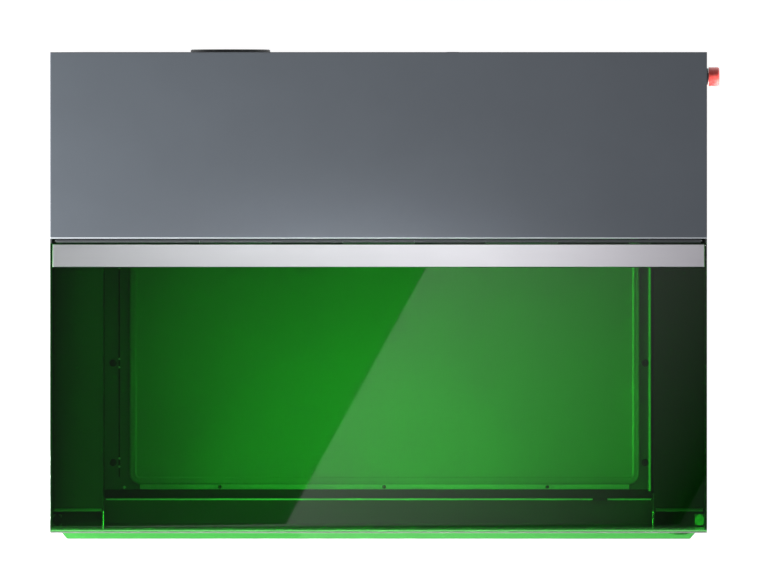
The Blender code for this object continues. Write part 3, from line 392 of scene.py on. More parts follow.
# %% Acrylic
ACRYLIC_PASSES = (0.085, 0.47, 0.09)
tinted_acrylic, tree = start_material("tinted_acrylic")
where = add_node(tree, "TexCoord").outputs["Object"]
waves = add_node(tree, "TexNoise", {"Vector": where, "Scale": per_metre(90), "Detail": 1})
film = add_node(tree, "MapRange", {"Value": waves.outputs["Fac"], "From Min": 0.3, "From Max": 0.7,
                                   "To Min": 0.015, "To Max": 0.03})
swell = add_node(tree, "Bump", {"Height": waves.outputs["Fac"], "Strength": 0.15, "Distance": 0.05 * MM})
sheet = add_node(tree, "BsdfPrincipled", {"Base Color": (*ACRYLIC_PASSES, 1), "Transmission Weight": 1.0,
                                          "IOR": 1.49, "Roughness": film.outputs["Result"],
                                          "Normal": swell.outputs["Normal"]})
window = add_node(tree, "BsdfTransparent", {"Color": (*[c ** 0.5 for c in ACRYLIC_PASSES], 1)})
path = add_node(tree, "LightPath")
both = add_node(tree, "MixShader", {0: path.outputs["Is Shadow Ray"], 1: sheet.outputs["BSDF"],
                                    2: window.outputs["BSDF"]})
add_node(tree, "OutputMaterial", {"Surface": both.outputs["Shader"]})
print("acrylic passes", ACRYLIC_PASSES, "and twice that", [round(c * c, 3) for c in ACRYLIC_PASSES])

# %% [markdown]
# The control board is fibreglass under a green lacquer. Copper tracks lie under the lacquer as
# slightly raised, slightly lighter lines, which a brick texture draws well enough at this size.

# %% Circuit board and signal light
board_lacquer, tree = start_material("board_lacquer")
where = add_node(tree, "TexCoord").outputs["Object"]
tracks = add_node(tree, "TexBrick", {"Vector": where, "Scale": per_metre(9), "Color1": linear("1C6B3A"),
                                     "Color2": linear("18603A"), "Mortar": linear("3E9160"),
                                     "Mortar Size": 0.03})
bump = add_node(tree, "Bump", {"Height": tracks.outputs["Fac"], "Strength": 0.3, "Distance": 0.05 * MM})
shader = add_node(tree, "BsdfPrincipled", {"Base Color": tracks.outputs["Color"], "Roughness": 0.34,
                                           "Normal": bump.outputs["Normal"]})
add_node(tree, "OutputMaterial", {"Surface": shader.outputs["BSDF"]})

signal_lens, tree = start_material("signal_lens")
where = add_node(tree, "TexCoord").outputs["Object"]
ripple = add_node(tree, "TexNoise", {"Vector": where, "Scale": per_metre(4), "Detail": 1})
glow = add_node(tree, "Mix", {"Factor": ripple.outputs["Fac"], "A": linear("3FD64A"),
                              "B": linear("8DF08A")}, data_type="RGBA")
shader = add_node(tree, "BsdfPrincipled", {"Base Color": glow.outputs["Result"], "Roughness": 0.3,
                                           "Emission Color": glow.outputs["Result"],
                                           "Emission Strength": 0.5})
add_node(tree, "OutputMaterial", {"Surface": shader.outputs["BSDF"]})
print("board and lens made")

# %% [markdown]
# ## The solids' finishes
#
# The record names a material slot for each solid, and this table gives each slot its finish. Two
# solids get a coat of their own: the cover, with a painted highlight along its front edge, and the
# paler deck.

# %% Finishes by slot
FINISHES = {
    "grey_paint": grey_powder_coat, "black_steel": black_powder_coat, "black_plastic": moulded_abs,
    "bright_aluminium": brushed_aluminium, "aluminium": milled_aluminium,
    "black_aluminium": black_anodised, "bright_steel": ground_steel, "bed_steel": zinc_plated_sheet,
    "motor_black": motor_paint, "belt_rubber": belt_neoprene, "rubber": foot_rubber,
    "green_acrylic": tinted_acrylic, "board_green": board_lacquer, "red_plastic": red_polyamide,
    "light_green": signal_lens,
}
for row in frame["record"]["subparts"]:
    solid = frame["nodes"][row["node"]]
    solid.data.materials.clear()
    solid.data.materials.append(FINISHES[row["material_slot"]])
# The cover's front edge is painted a lighter grey for about 1.6 mm. This is a painted highlight,
# standing for the light that the rounded edge catches.
cover_coat_with_highlight = satin("cover_coat_painted_highlight", "565C63", 0.42, 2.6, 0.05)
tree = cover_coat_with_highlight.node_tree
shader = tree.nodes["Principled BSDF"]
tone = shader.inputs["Base Color"].links[0].from_socket
EDGE_HIGHLIGHT_DEPTH = 1.6 * MM
where = add_node(tree, "TexCoord").outputs["Object"]
depth = add_node(tree, "SeparateXYZ", {"Vector": where}).outputs["Y"]
edge_highlight_mask = add_node(tree, "Math", {0: depth, 1: COVER_Y[0] + EDGE_HIGHLIGHT_DEPTH}, operation="LESS_THAN")
painted_edge_highlight = add_node(tree, "Mix", {"Factor": edge_highlight_mask.outputs["Value"], "A": tone, "B": linear("A8ADB2")},
                data_type="RGBA")
tree.links.new(painted_edge_highlight.outputs["Result"], shader.inputs["Base Color"])
frame["nodes"]["rear_top_cover"].data.materials[0] = cover_coat_with_highlight
# The deck round the bed is a paler grey than the other black steel.
frame["nodes"]["deck_frame"].data.materials[0] = satin("deck_powder_coat", "8C9094", 0.5, 2.4, 0.03, 0.1)

# %% [markdown]
# ## Tools for the fine pieces
#
# Two ways of making metal and plastic shapes cover nearly every piece: pushing an outline along a
# straight line, as an extrusion or a folded sheet is made, and turning a profile round an axis, as
# a lathe does. Each adds its faces to a mesh, so several can share one piece.

# %% Extruding and turning
PLANES = {"X": (1, 2, 0), "Y": (0, 2, 1), "Z": (0, 1, 2)}


def place(axis, u, v, along):
    """The point at u, v in the plane across an axis, and at a distance along it."""
    point = [0.0, 0.0, 0.0]
    for index, value in zip(PLANES[axis], (u, v, along)):
        point[index] = value
    return Vector(point)


def add_prism(shape, outline, axis, reach):
    """Pushes a closed outline from reach[0] to reach[1] along the axis."""
    near, far = [[shape.verts.new(place(axis, u, v, along)) for u, v in outline] for along in reach]
    shape.faces.new(near)
    shape.faces.new(list(reversed(far)))
    for i in range(len(near)):
        shape.faces.new((near[i - 1], near[i], far[i], far[i - 1]))


def add_block(shape, x, y, z):
    add_prism(shape, [(x[0], y[0]), (x[1], y[0]), (x[1], y[1]), (x[0], y[1])], "Z", z)


def add_turned(shape, profile, centre, axis, steps=24, hexagons=()):
    """Turns a profile of (radius, along) points. The rings numbered in hexagons get six flats."""
    rings = []
    for number, (radius, along) in enumerate(profile):
        ring = []
        for step in range(steps if radius else 1):
            turn = 2 * math.pi * step / steps
            flat = math.cos((turn + math.pi / 6) % (math.pi / 3) - math.pi / 6)
            reach = radius * math.cos(math.pi / 6) / flat if number in hexagons else radius
            u, v = centre[0] + reach * math.cos(turn), centre[1] + reach * math.sin(turn)
            ring.append(shape.verts.new(place(axis, u, v, along)))
        rings.append(ring)
    for near, far in zip(rings, rings[1:]):
        for i in range(max(len(near), len(far))):
            corners = [near[i - 1], near[i], far[i], far[i - 1]] if len(near) == len(far) else (
                [near[i - 1], near[i], far[0]] if len(far) == 1 else [near[0], far[i], far[i - 1]])
            shape.faces.new(corners)


def add_hoop(shape, section, centre, axis, steps=48):
    """Turns a closed section into a ring, and joins its two ends."""
    add_turned(shape, section + section[:1], centre, axis, steps)
    bmesh.ops.remove_doubles(shape, verts=shape.verts, dist=0.01 * MM)


def heading(degrees):
    turn = math.radians(degrees)
    return Vector((math.cos(turn), math.sin(turn)))


def add_bar(shape, start, stop, half_width, axis, reach):
    """A straight bar between two points of the plane across an axis."""
    way = (stop - start).normalized()
    side = Vector((-way.y, way.x)) * half_width
    add_prism(shape, [start - side, stop - side, stop + side, start + side], axis, reach)


def arc(centre, radius, start, stop, steps):
    """Points on an arc, from one angle in degrees to another."""
    points = []
    for i in range(steps + 1):
        turn = math.radians(start + (stop - start) * i / steps)
        points.append((centre[0] + radius * math.cos(turn), centre[1] + radius * math.sin(turn)))
    return points


def rounded(x, y, radius, steps=8):
    """A rectangle with round corners."""
    corners = ((x[1], y[1], 0), (x[0], y[1], 90), (x[0], y[0], 180), (x[1], y[0], 270))
    points = []
    for corner_x, corner_y, turn in corners:
        centre = (corner_x - math.copysign(radius, corner_x - middle(x)),
                  corner_y - math.copysign(radius, corner_y - middle(y)))
        points += arc(centre, radius, turn, turn + 90, steps)
    return points


SHARP = math.radians(35)


def to_object(name, shape):
    """Puts a mesh in the scene as an object, with its faces turned outwards."""
    bmesh.ops.recalc_face_normals(shape, faces=shape.faces)
    mesh = bpy.data.meshes.new(name)
    shape.to_mesh(mesh)
    shape.free()
    made = bpy.data.objects.new(name, mesh)
    put_in_scene(made)
    return made


def add_bevel(made, width_mm, angle):
    """Softens the edges that bend by more than angle, in degrees."""
    bevel = made.modifiers.new("edge", "BEVEL")
    bevel.width = width_mm * MM
    bevel.segments = 2
    bevel.limit_method = "ANGLE"
    bevel.angle_limit = math.radians(angle)
    return bevel


def make_piece(name, shape, finish, body, bevel_mm=0.0, stands_for=()):
    """Turns a mesh into a named piece that rides on a body of the frame."""
    made = to_object(name, shape)
    made.data.materials.append(finish)
    made.data.shade_smooth()
    made.data.set_sharp_from_angle(angle=SHARP)
    if bevel_mm:
        add_bevel(made, bevel_mm, 40).harden_normals = True
    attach(made, body)
    if stands_for:
        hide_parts(*stands_for)
    return made


# %% [markdown]
# Small screws hold the sheets together. Each is a round head with a hexagon socket. One profile
# serves for all of them: up the side, over a rounded rim, in to the socket's edge and down to its
# floor. Screws of one group share a piece, as they share a bag in a parts list.


# %% Screws
def add_screw(shape, centre, axis, seat, radius_mm, outward=1):
    """A button-head screw whose head stands up from seat, along the axis or against it."""
    radius = radius_mm * MM
    height = radius * 0.55 * outward
    socket, floor = radius * 0.46, seat + height * 0.3
    profile = [(0, seat), (radius, seat), (radius, seat + height * 0.4),
               (radius * 0.9, seat + height * 0.8), (radius * 0.7, seat + height),
               (socket, seat + height), (socket, floor), (0, floor)]
    add_turned(shape, profile, centre, axis, 24, hexagons=(5, 6))


def make_screws(name, centres, axis, seat, radius_mm, body, outward=1, finish=black_powder_coat):
    shape = bmesh.new()
    for centre in centres:
        add_screw(shape, centre, axis, seat, radius_mm, outward)
    return make_piece(name, shape, finish, body)


# %% [markdown]
# ## The lid
#
# The real lid is one sheet of acrylic, 3 mm thick, warmed and bent down at the front, with a lip to
# lift it by. It could be a plane with a Solidify modifier, but the recess for the bar and the lip
# need real corners. So its section is drawn as an outline, with many short steps round the bend to
# keep the mirror smooth, and pushed across the width. The recess is cut by a Boolean.

# %% Acrylic sheet
SHEET = 3 * MM
BEND = 10 * MM
LIP = 7.8 * MM
LIP_SHOULDER = 11.4 * MM
front = LID_Y[0] + LIP
bend_centre = (front + BEND, LID_Z[1] - BEND)
outline = [(LID_Y[1], LID_Z[1] - SHEET), (LID_Y[1], LID_Z[1])]
outline += arc(bend_centre, BEND, 90, 180, 16)
outline += [(front, LID_Z[0]), (front + SHEET, LID_Z[0])]
outline += arc(bend_centre, BEND - SHEET, 180, 90, 16)
shape = bmesh.new()
add_prism(shape, outline, "X", LID_X)
lid_sheet = make_piece("lid_sheet", shape, tinted_acrylic, "lid",
                       stands_for=("lid_shield",))


def boolean(target, shape, operation):
    """Joins a mesh to a piece or cuts it out."""
    tool = to_object("tool", shape)
    step = target.modifiers.new("step", "BOOLEAN")
    step.operation = operation
    step.object = tool
    result = bpy.data.meshes.new_from_object(target.evaluated_get(bpy.context.evaluated_depsgraph_get()))
    target.modifiers.clear()
    target.data = result
    bpy.data.objects.remove(tool)


shape = bmesh.new()
root = (LID_X[1] - LID_X[0]) / 2 - LIP_SHOULDER
tip = root - LIP + 1.2 * MM
lip_outline = [(CENTRE_X - root, front + 1 * MM), (CENTRE_X - root, front), (CENTRE_X - tip, LID_Y[0]),
               (CENTRE_X + tip, LID_Y[0]), (CENTRE_X + root, front), (CENTRE_X + root, front + 1 * MM)]
add_prism(shape, lip_outline, "Z", (LID_Z[0], LID_Z[0] + SHEET))
boolean(lid_sheet, shape, "UNION")
GAP = 0.3 * MM
shape = bmesh.new()
add_block(shape, (TRIM_X[0] - GAP, TRIM_X[1] + GAP), (TRIM_Y[0] - GAP, TRIM_Y[1] + GAP),
          (LID_Z[1] - SHEET / 2, LID_Z[1] + SHEET))
boolean(lid_sheet, shape, "DIFFERENCE")
lid_sheet.data.set_sharp_from_angle(angle=SHARP)
add_bevel(lid_sheet, 0.35, 50)
print("lid faces", len(lid_sheet.data.polygons))

# %% [markdown]
# ## The bed
#
# The bed is a plate of zinc-plated sheet with a rolled rim, which keeps ash off the floor and stiffens
# the plate. A rim like this can be made by sweeping a small section round a rectangle with rounded
# corners. Here rings of the same outline, drawn in or lifted step by step, are bridged into one skin.

# %% Bed plate with a rolled rim
RIM = 7.7 * MM
CORNER = 12 * MM


def ring_points(inset, height):
    """The bed's outline, drawn in by inset, at a height."""
    x = (BED_X[0] + inset, BED_X[1] - inset)
    y = (BED_Y[0] + inset, BED_Y[1] - inset)
    return [(u, v, height) for u, v in rounded(x, y, max(CORNER - inset, 0.6 * MM))]


bed_floor = BED_Z[0] + 2 * MM
rim_section = [(0.0, BED_Z[0])]
rim_section += [(1.9 * MM - u, BED_Z[1] - 1.9 * MM + v) for u, v in arc((0, 0), 1.9 * MM, 0, 90, 5)]
rim_section += [(3.4 * MM, BED_Z[1] - 0.5 * MM), (4.6 * MM, BED_Z[1] - 0.5 * MM)]
rim_section += [(6.1 * MM + u, BED_Z[1] - 1.2 * MM + v) for u, v in arc((0, 0), 1.2 * MM, 90, 0, 5)]
rim_section += [(RIM, bed_floor + 0.8 * MM), (RIM + 0.9 * MM, bed_floor)]
shape = bmesh.new()
rings = [[shape.verts.new(point) for point in ring_points(*at)] for at in rim_section]
for near, far in zip(rings, rings[1:]):
    for i in range(len(near)):
        shape.faces.new((near[i - 1], near[i], far[i], far[i - 1]))
shape.faces.new(rings[-1])
shape.faces.new(rings[0])
make_piece("bed_sheet", shape, zinc_plated_sheet, "base", stands_for=("bed_plate",))
print("bed", round((BED_X[1] - BED_X[0]) / MM), "by", round((BED_Y[1] - BED_Y[0]) / MM), "mm")

# %% [markdown]
# ## The chamber's fittings
#
# Round the bed lie the fittings that the lid shows: screws down both sides, small locating pins, a
# stop bar in front that work is squared against, a strip on the baffle's fold and guards on the cut
# edges of the two inner walls. The pins, the stop bar and the fold strip are near-white, a painted
# highlight for bright metal. Each is small, so most are one extrusion.

# %% Screws and pins beside the bed
DECK = ends("deck_frame")[2][1]
SCREW_ROWS = [row * MM for row in (-193.0, -79.0, 35.0, 148.5)]
left_line, right_line = CENTRE_X - 304.6 * MM, CENTRE_X + 306 * MM
deck_points = [(x, y) for x in (left_line, right_line) for y in SCREW_ROWS]
make_screws("deck_screws", deck_points, "Z", DECK + 0.05 * MM, 4.2, "base")

shape = bmesh.new()
pin_line = CENTRE_X - 297.4 * MM
add_block(shape, (pin_line - 0.9 * MM, pin_line + 0.9 * MM), (BED_Y[0] + 8 * MM, BED_Y[1]),
          (DECK + 0.05 * MM, DECK + 1.6 * MM))
make_piece("bed_guide", shape, black_powder_coat, "base", 0.4)
shape = bmesh.new()
for row in SCREW_ROWS:
    for offset in (-4.7 * MM, 4.7 * MM):
        dome = [(0, DECK + 1.7 * MM), (1.3 * MM, DECK + 1.7 * MM)]
        dome += [(u, DECK + 1.9 * MM + v) for u, v in arc((0, 0), 1.3 * MM, 0, 75, 4)]
        dome.append((0, DECK + 3.25 * MM))
        add_turned(shape, dome, (pin_line, row + offset), "Z", 16)
# The pins' near-white colour is a painted glint.
make_piece("guide_pins", shape, painted_highlight_white, "base")
print("screws", len(deck_points), "guide pins", 2 * len(SCREW_ROWS))

# %% Stop bar in front of the bed
bar_y = (BAFFLE_Y[1] + 0.3 * MM, BED_Y[0] - 0.4 * MM)
bar_z = (DECK + 0.05 * MM, DECK + 2.6 * MM)
BAR_END = 12 * MM
shape = bmesh.new()
add_block(shape, (BED_X[0] + BAR_END, BED_X[1] - BAR_END), bar_y, bar_z)
# The bar's near-white colour is a painted highlight of bright steel.
make_piece("stop_bar", shape, painted_highlight_white, "base", 0.4)
bar_screws = [(CENTRE_X + x * MM, middle(bar_y)) for x in (-182.0, 6.3, 193.5)]
make_screws("stop_bar_screws", bar_screws, "Z", bar_z[1], 2.2, "base", finish=ground_steel)
shape = bmesh.new()
add_turned(shape, [(0, DECK), (1.7 * MM, DECK), (1.7 * MM, DECK + 1.2 * MM), (1.0 * MM, DECK + 2.0 * MM),
                   (0, DECK + 2.2 * MM)], (CENTRE_X - 291.9 * MM, bar_y[0] + 2 * MM), "Z", 16)
# This pin is near-white too: a painted glint.
make_piece("corner_pin", shape, painted_highlight_white, "base")
print("stop bar", round((bar_y[1] - bar_y[0]) / MM, 1), "mm deep")

# %% [markdown]
# The baffle is a sheet folded at a hem. The fold's outer radius shows the brightest line in the
# chamber, and here that line is a painted highlight: a guard strip with a round top, near-white,
# stands for the fold. Its outline is an arc closed underneath by two short legs. The same outline
# makes the beads on the inner walls and on the rail covers. A thin neoprene seal under the lid's
# front edge takes the last knock.


# %% Fold with a painted highlight, and edge guards
def add_guard(shape, centre, radius, leg, axis, reach):
    """A half-round strip whose top is at centre plus radius, with short legs down."""
    (u, v), top = centre, arc(centre, radius, 0, 180, 8)
    outline = [(u + radius, v - leg)] + top + [(u - radius, v - leg)]
    add_prism(shape, outline, axis, reach)


hem_y = front + 38.5 * MM
shape = bmesh.new()
add_guard(shape, (hem_y - 0.7 * MM, BAFFLE_Z[1] + 0.35 * MM), 0.9 * MM, 0.3 * MM, "X",
          (BAFFLE_X[0] + 2 * MM, BAFFLE_X[1] - 2 * MM))
# The strip's near-white colour is the fold's painted highlight.
make_piece("baffle_fold", shape, painted_highlight_white, "base")

shape = bmesh.new()
wall_top = ends("left_inner_wall")[2][1]
wall_x = (ends("left_inner_wall")[0], ends("right_inner_wall")[0])
for wall, inward in zip(wall_x, (1.4 * MM, -1.4 * MM)):
    add_guard(shape, (middle(wall) + inward, wall_top + 0.5 * MM), 1.0 * MM, 0.4 * MM, "Y",
              (front + 4 * MM, front + 25 * MM))
make_piece("wall_edge_guards", shape, polished_steel, "base")
shape = bmesh.new()
for node in ("left_rail_cover", "right_rail_cover"):
    side_x, side_y, side_z = ends(node)
    add_guard(shape, (side_y[0] + 1.9 * MM, side_z[1] + 0.1 * MM), 1.7 * MM, 0.3 * MM, "X",
              (side_x[0] + 2 * MM, side_x[1] - 2 * MM))
make_piece("rail_cover_folds", shape, milled_aluminium, "base")

seal_y = (front + 0.3 * MM, front + SHEET - 0.3 * MM)
seal_z = (LID_Z[0] - 1.1 * MM, LID_Z[0] - 0.05 * MM)
shape = bmesh.new()
add_prism(shape, rounded(seal_y, seal_z, 0.4 * MM, 4), "X", (LID_X[0] + 4 * MM, LID_X[1] - 4 * MM))
make_piece("lid_seal", shape, belt_neoprene, "lid")
print("fold at", round(hem_y / MM, 1), "mm")

# %% [markdown]
# An aluminium channel runs along the top of the right wall with a pale cover in it. The cover's
# pale colour is painted light: it stands for the band of light that falls on that wall's inner face.

# %% Pale strip on the right wall, painted light
# This pale coat is painted light, for the lit band on the right wall.
painted_light_coat = satin("painted_light_coat", "C9CBC8", 0.55, 2.4, 0.02, 0.05)
wall_face = wall_x[1][0]
strip_y = (front + 45 * MM, TRIM_Y[0] + 60 * MM)
strip_z = (wall_top - 8 * MM, wall_top - 1 * MM)
shape = bmesh.new()
add_block(shape, (wall_face - 3.6 * MM, wall_face - 0.2 * MM), strip_y, strip_z)
make_piece("strip_channel", shape, black_anodised, "base", 0.5)
shape = bmesh.new()
add_prism(shape, arc((wall_face - 3.6 * MM, middle(strip_z)), 2.4 * MM, 90, 270, 8), "Y",
          (strip_y[0] + 3 * MM, strip_y[1] - 3 * MM))
# The cover's pale colour is painted light: the lit band on the right wall's inner face.
make_piece("painted_light_strip", shape, painted_light_coat, "base")
print("pale_strip", round((strip_y[1] - strip_y[0]) / MM), "mm long")

# %% [markdown]
# Two posts stand in the front corners. The right one carries the signal light, the left one the
# switch that notices the open lid. Each has a square window on top, held by a clip at each corner.


# %% Clips and signal light
CLIP_ARM = 3.4 * MM
CLIP_WIDTH = 1.1 * MM


def make_clips(name, node):
    """An angle on each corner of a post, drawn as one L with its arms along the sides."""
    x, y, z = ends(node)
    top = z[1] + 0.1 * MM
    angle = ((0, 0), (CLIP_ARM, 0), (CLIP_ARM, CLIP_WIDTH), (CLIP_WIDTH, CLIP_WIDTH),
             (CLIP_WIDTH, CLIP_ARM), (0, CLIP_ARM))
    shape = bmesh.new()
    for side_x, way_x in ((x[0], 1), (x[1], -1)):
        for side_y, way_y in ((y[0], 1), (y[1], -1)):
            corner = [(side_x + way_x * u, side_y + way_y * v) for u, v in angle]
            add_prism(shape, corner, "Z", (top, top + 1.2 * MM))
    make_piece(name, shape, milled_aluminium, "base", 0.2)


make_clips("signal_clips", "status_light")
make_clips("sensor_clips", "lid_sensor")
post_x, post_y, post_z = ends("status_light")
shape = bmesh.new()
add_prism(shape, rounded((post_x[0] + 1.5 * MM, post_x[1] - 1.5 * MM),
                         (post_y[0] + 1.8 * MM, post_y[1] - 1.8 * MM), 1.0 * MM, 4), "Z",
          (post_z[1] + 0.1 * MM, post_z[1] + 0.9 * MM))
make_piece("signal_window", shape, signal_lens, "base", 0.3)
print("signal light at", [round(middle(pair) / MM) for pair in (post_x, post_y)])

# %% [markdown]
# ## The stop button
#
# The stop button is a mushroom of red polyamide, moulded in one piece with a rounded rim, a shallow
# dish on its face, and a hollow behind that takes in the collar when the button is pressed. A turned
# part like this is quickest as a profile spun round its axis. Three raised ribs on the face give the
# thumb a grip to twist it free.

# %% Stop button
cap_x, cap_y, cap_z = ends("estop_cap")
cap_centre = (middle(cap_y), middle(cap_z))
reach = (cap_y[1] - cap_y[0]) / 2
base, face = cap_x
WALL = 1 * MM
hub, bore, roof = 6.2 * MM, 4.3 * MM, face - 3.5 * MM
profile = [(0, face - 2.7 * MM), (bore, face - 2.7 * MM), (bore, base + 2.5 * MM), (hub, base + 2.5 * MM),
           (hub, roof), (reach - WALL, roof), (reach - WALL, base)]
profile += arc((reach - WALL / 2, base + WALL / 2), WALL / 2, -90, 0, 3)
profile += arc((reach - 2.6 * MM, face - 2.6 * MM), 2.6 * MM, 0, 90, 6)
profile += [(reach - 4 * MM, face - 0.5 * MM), (reach - 7 * MM, face - 0.9 * MM), (0, face - 1 * MM)]
shape = bmesh.new()
add_turned(shape, profile, cap_centre, "X", 48)
for rib in range(3):
    start = rib * 120
    band = arc(cap_centre, 6.4 * MM, start, start + 60, 8) + arc(cap_centre, 5.2 * MM, start + 60, start, 8)
    add_prism(shape, band, "X", (face - 1.2 * MM, face - 0.35 * MM))
make_piece("stop_mushroom", shape, red_polyamide, "stop_cap", stands_for=("estop_cap",))
print("stop button", round(2 * reach / MM, 1), "mm across")

# %% [markdown]
# ## Feet
#
# Each foot is a moulded rubber puck, wider at its sole, with a groove round it and a sunk screw
# underneath. A plain cylinder has none of these, so it is turned from a profile too.

# %% Feet
for node in [name for name in frame["nodes"] if name.endswith("_foot")]:
    foot_x, foot_y, foot_z = ends(node)
    radius = (foot_x[1] - foot_x[0]) / 2
    sole, top = foot_z
    profile = [(0, sole + 5 * MM), (3.4 * MM, sole + 5 * MM), (3.6 * MM, sole + 0.6 * MM), (4.4 * MM, sole)]
    profile += [(radius - 1.2 * MM + u, sole + 1.2 * MM + v) for u, v in arc((0, 0), 1.2 * MM, -90, 0, 4)]
    profile += [(radius - 0.3 * MM, sole + 4 * MM), (radius - 1.5 * MM, sole + 4.4 * MM),
                (radius - 1.5 * MM, sole + 5.4 * MM), (radius - 0.6 * MM, sole + 5.8 * MM),
                (radius - 1.2 * MM, top - 0.6 * MM), (radius - 1.8 * MM, top), (0, top)]
    shape = bmesh.new()
    add_turned(shape, profile, (middle(foot_x), middle(foot_y)), "Z", 48)
    make_piece(node + "_puck", shape, foot_rubber, "base", stands_for=(node,))
print("feet", round(2 * radius / MM), "mm across")

# %% [markdown]
# ## The laser head
#
# The diode in the head makes more heat than light. Its case is therefore a finned aluminium
# extrusion with a fan on top, and a collar guards the lens below. The fins are thin ribs on the
# front face, the fan guard is three rings on a cross, and the collar is turned.

# %% Fins
CASE_WIDTH = 62 * MM
CASE_HALF_DEPTH = 22 * MM
FINS = 13
tip, case_top = HEAD_Z
case_x = (HEAD_X[0], HEAD_X[0] + CASE_WIDTH)
fan_centre = Vector((middle(case_x), HEAD_Y[0] + CASE_HALF_DEPTH))
pitch = (CASE_WIDTH - 10 * MM) / (FINS - 1)
fin_y = (HEAD_Y[0] - 0.7 * MM, HEAD_Y[0] + 0.5 * MM)
shape = bmesh.new()
for fin in range(FINS):
    x = case_x[0] + 5 * MM + fin * pitch
    add_prism(shape, rounded((x - 0.8 * MM, x + 0.8 * MM), fin_y, 0.3 * MM, 3), "Z",
              (tip + 22 * MM, case_top - 6 * MM))
make_piece("head_fins", shape, black_anodised, "head")
print("fins every", round(pitch / MM, 1), "mm")

# %% Fan guard and lens collar
shape = bmesh.new()
for radius in (6.0 * MM, 11.5 * MM, 17.0 * MM):
    hoop = [(radius - 0.7 * MM, case_top + 0.1 * MM), (radius + 0.7 * MM, case_top + 0.1 * MM),
            (radius + 0.5 * MM, case_top + 1.1 * MM), (radius - 0.5 * MM, case_top + 1.1 * MM)]
    add_hoop(shape, hoop, fan_centre, "Z")
for turn in (45, 135):
    arm = heading(turn) * 17.5 * MM
    add_bar(shape, fan_centre - arm, fan_centre + arm, 0.7 * MM, "Z",
            (case_top + 0.15 * MM, case_top + 1.0 * MM))
make_piece("head_fan_guard", shape, ground_steel, "head")
guard_screws = [fan_centre + Vector((x, y)) * 16 * MM for x in (-1, 1) for y in (-1, 1)]
make_screws("head_screws", guard_screws, "Z", case_top + 0.05 * MM, 2.4, "head", finish=ground_steel)
shape = bmesh.new()
collar = [(9.1 * MM, tip + 3 * MM), (10.6 * MM, tip + 3 * MM), (11.2 * MM, tip + 3.8 * MM),
          (11.2 * MM, tip + 7.4 * MM), (10.6 * MM, tip + 8.2 * MM), (9.1 * MM, tip + 8.2 * MM)]
add_hoop(shape, collar, fan_centre, "Z")
make_piece("lens_collar", shape, milled_aluminium, "head")
print("guard screws", len(guard_screws))

# %% [markdown]
# ## The gantry's rail bolts
#
# A linear rail is bolted down every 40 mm through sunk holes. The runner passes 0.4 mm over it, so
# the bolt heads may not stand proud. They are drawn as shallow rings with a socket, 0.15 mm high.

# %% Rail bolts
BOLT_PITCH = 40 * MM
rail_x, rail_y, rail_z = ends("x_rail")
seat = rail_y[0]
shape = bmesh.new()
count = int((rail_x[1] - rail_x[0]) / BOLT_PITCH)
for bolt in range(count):
    x = rail_x[0] + (bolt + 0.5) * BOLT_PITCH
    profile = [(0, seat + 0.05 * MM), (2.9 * MM, seat + 0.05 * MM), (2.7 * MM, seat - 0.15 * MM),
               (1.5 * MM, seat - 0.15 * MM), (1.5 * MM, seat - 0.02 * MM), (0, seat - 0.02 * MM)]
    add_turned(shape, profile, (x, middle(rail_z)), "Y", 24, hexagons=(3, 4))
make_piece("x_rail_bolts", shape, motor_paint, "gantry")
print("rail bolts", count)

# %% [markdown]
# ## The back
#
# Sheet-steel panels are screwed to the pan and to each other along their edges. The exhaust has a
# finger guard of welded wire inside its ring.

# %% Rear screws and finger guard
panel_face = ends("rear_panel")[1][1]
rear_rows = (18 * MM, COVER_Z[0] - 7 * MM)
REAR_COLUMNS = (-350.0, -245.0, -75.0, 35.0, 245.0, 350.0)
rear_points = [(CENTRE_X + x * MM, z) for x in REAR_COLUMNS for z in rear_rows]
make_screws("rear_screws", rear_points, "Y", panel_face + 0.02 * MM, 3.0, "base")
ring_x, ring_y, ring_z = ends("exhaust_flange")
ring_centre = Vector((middle(ring_x), middle(ring_z)))
WIRE = 0.9 * MM
wire_y = panel_face - 0.6 * MM
shape = bmesh.new()
for radius in (8 * MM, 17 * MM, 26 * MM, 35 * MM):
    add_hoop(shape, arc((radius, wire_y), WIRE, 0, 315, 7), ring_centre, "Y")
for turn in (45, 135, 225, 315):
    spoke = heading(turn)
    add_bar(shape, ring_centre + spoke * 7.5 * MM, ring_centre + spoke * 37.2 * MM, WIRE, "Y",
            (wire_y - WIRE, wire_y - WIRE * 0.2))
make_piece("finger_guard", shape, ground_steel, "base")
print("rear screws", len(rear_points))

# %% [markdown]
# The board's socket comes out through the rear panel. A folded steel shell surrounds a black insert.

# %% Data socket
board_x, board_y, board_z = ends("main_board")
SOCKET_OFFSET = 85 * MM
PROUD = 0.2 * MM
PLATE = 1 * MM
socket_x = (board_x[0] + SOCKET_OFFSET - 6 * MM, board_x[0] + SOCKET_OFFSET + 6 * MM)
socket_z = (board_z[1] - 11.1 * MM, board_z[1])
socket_y = (panel_face - 1.5 * MM, board_y[1] + PROUD)
left, right = socket_x[0] - PROUD, socket_x[1] + PROUD
low, high = socket_z[0] - PROUD, socket_z[1] + PROUD
inner_z = (low + PLATE, high - PLATE)
shape = bmesh.new()
for x, z in (((left, right), (low, low + PLATE)), ((left, right), (high - PLATE, high)),
             ((left, left + PLATE), inner_z), ((right - PLATE, right), inner_z)):
    add_block(shape, x, socket_y, z)
bmesh.ops.remove_doubles(shape, verts=shape.verts, dist=0.01 * MM)
make_piece("socket_shell", shape, ground_steel, "base")
shape = bmesh.new()
insert_y = (board_y[1] - 1 * MM, board_y[1] + 0.05 * MM)
add_block(shape, (socket_x[0] + 0.8 * MM, socket_x[1] - 0.8 * MM), insert_y,
          (socket_z[0] + 0.8 * MM, socket_z[1] - 0.8 * MM))
make_piece("socket_insert", shape, moulded_abs, "base", 0.1)
print("socket", round((socket_x[1] - socket_x[0]) / MM), "mm wide")

# %% [markdown]
# The duct ring is a moulding that a hose is pushed onto, so its rear edge has a lead-in and a groove
# to grip the hose clamp.

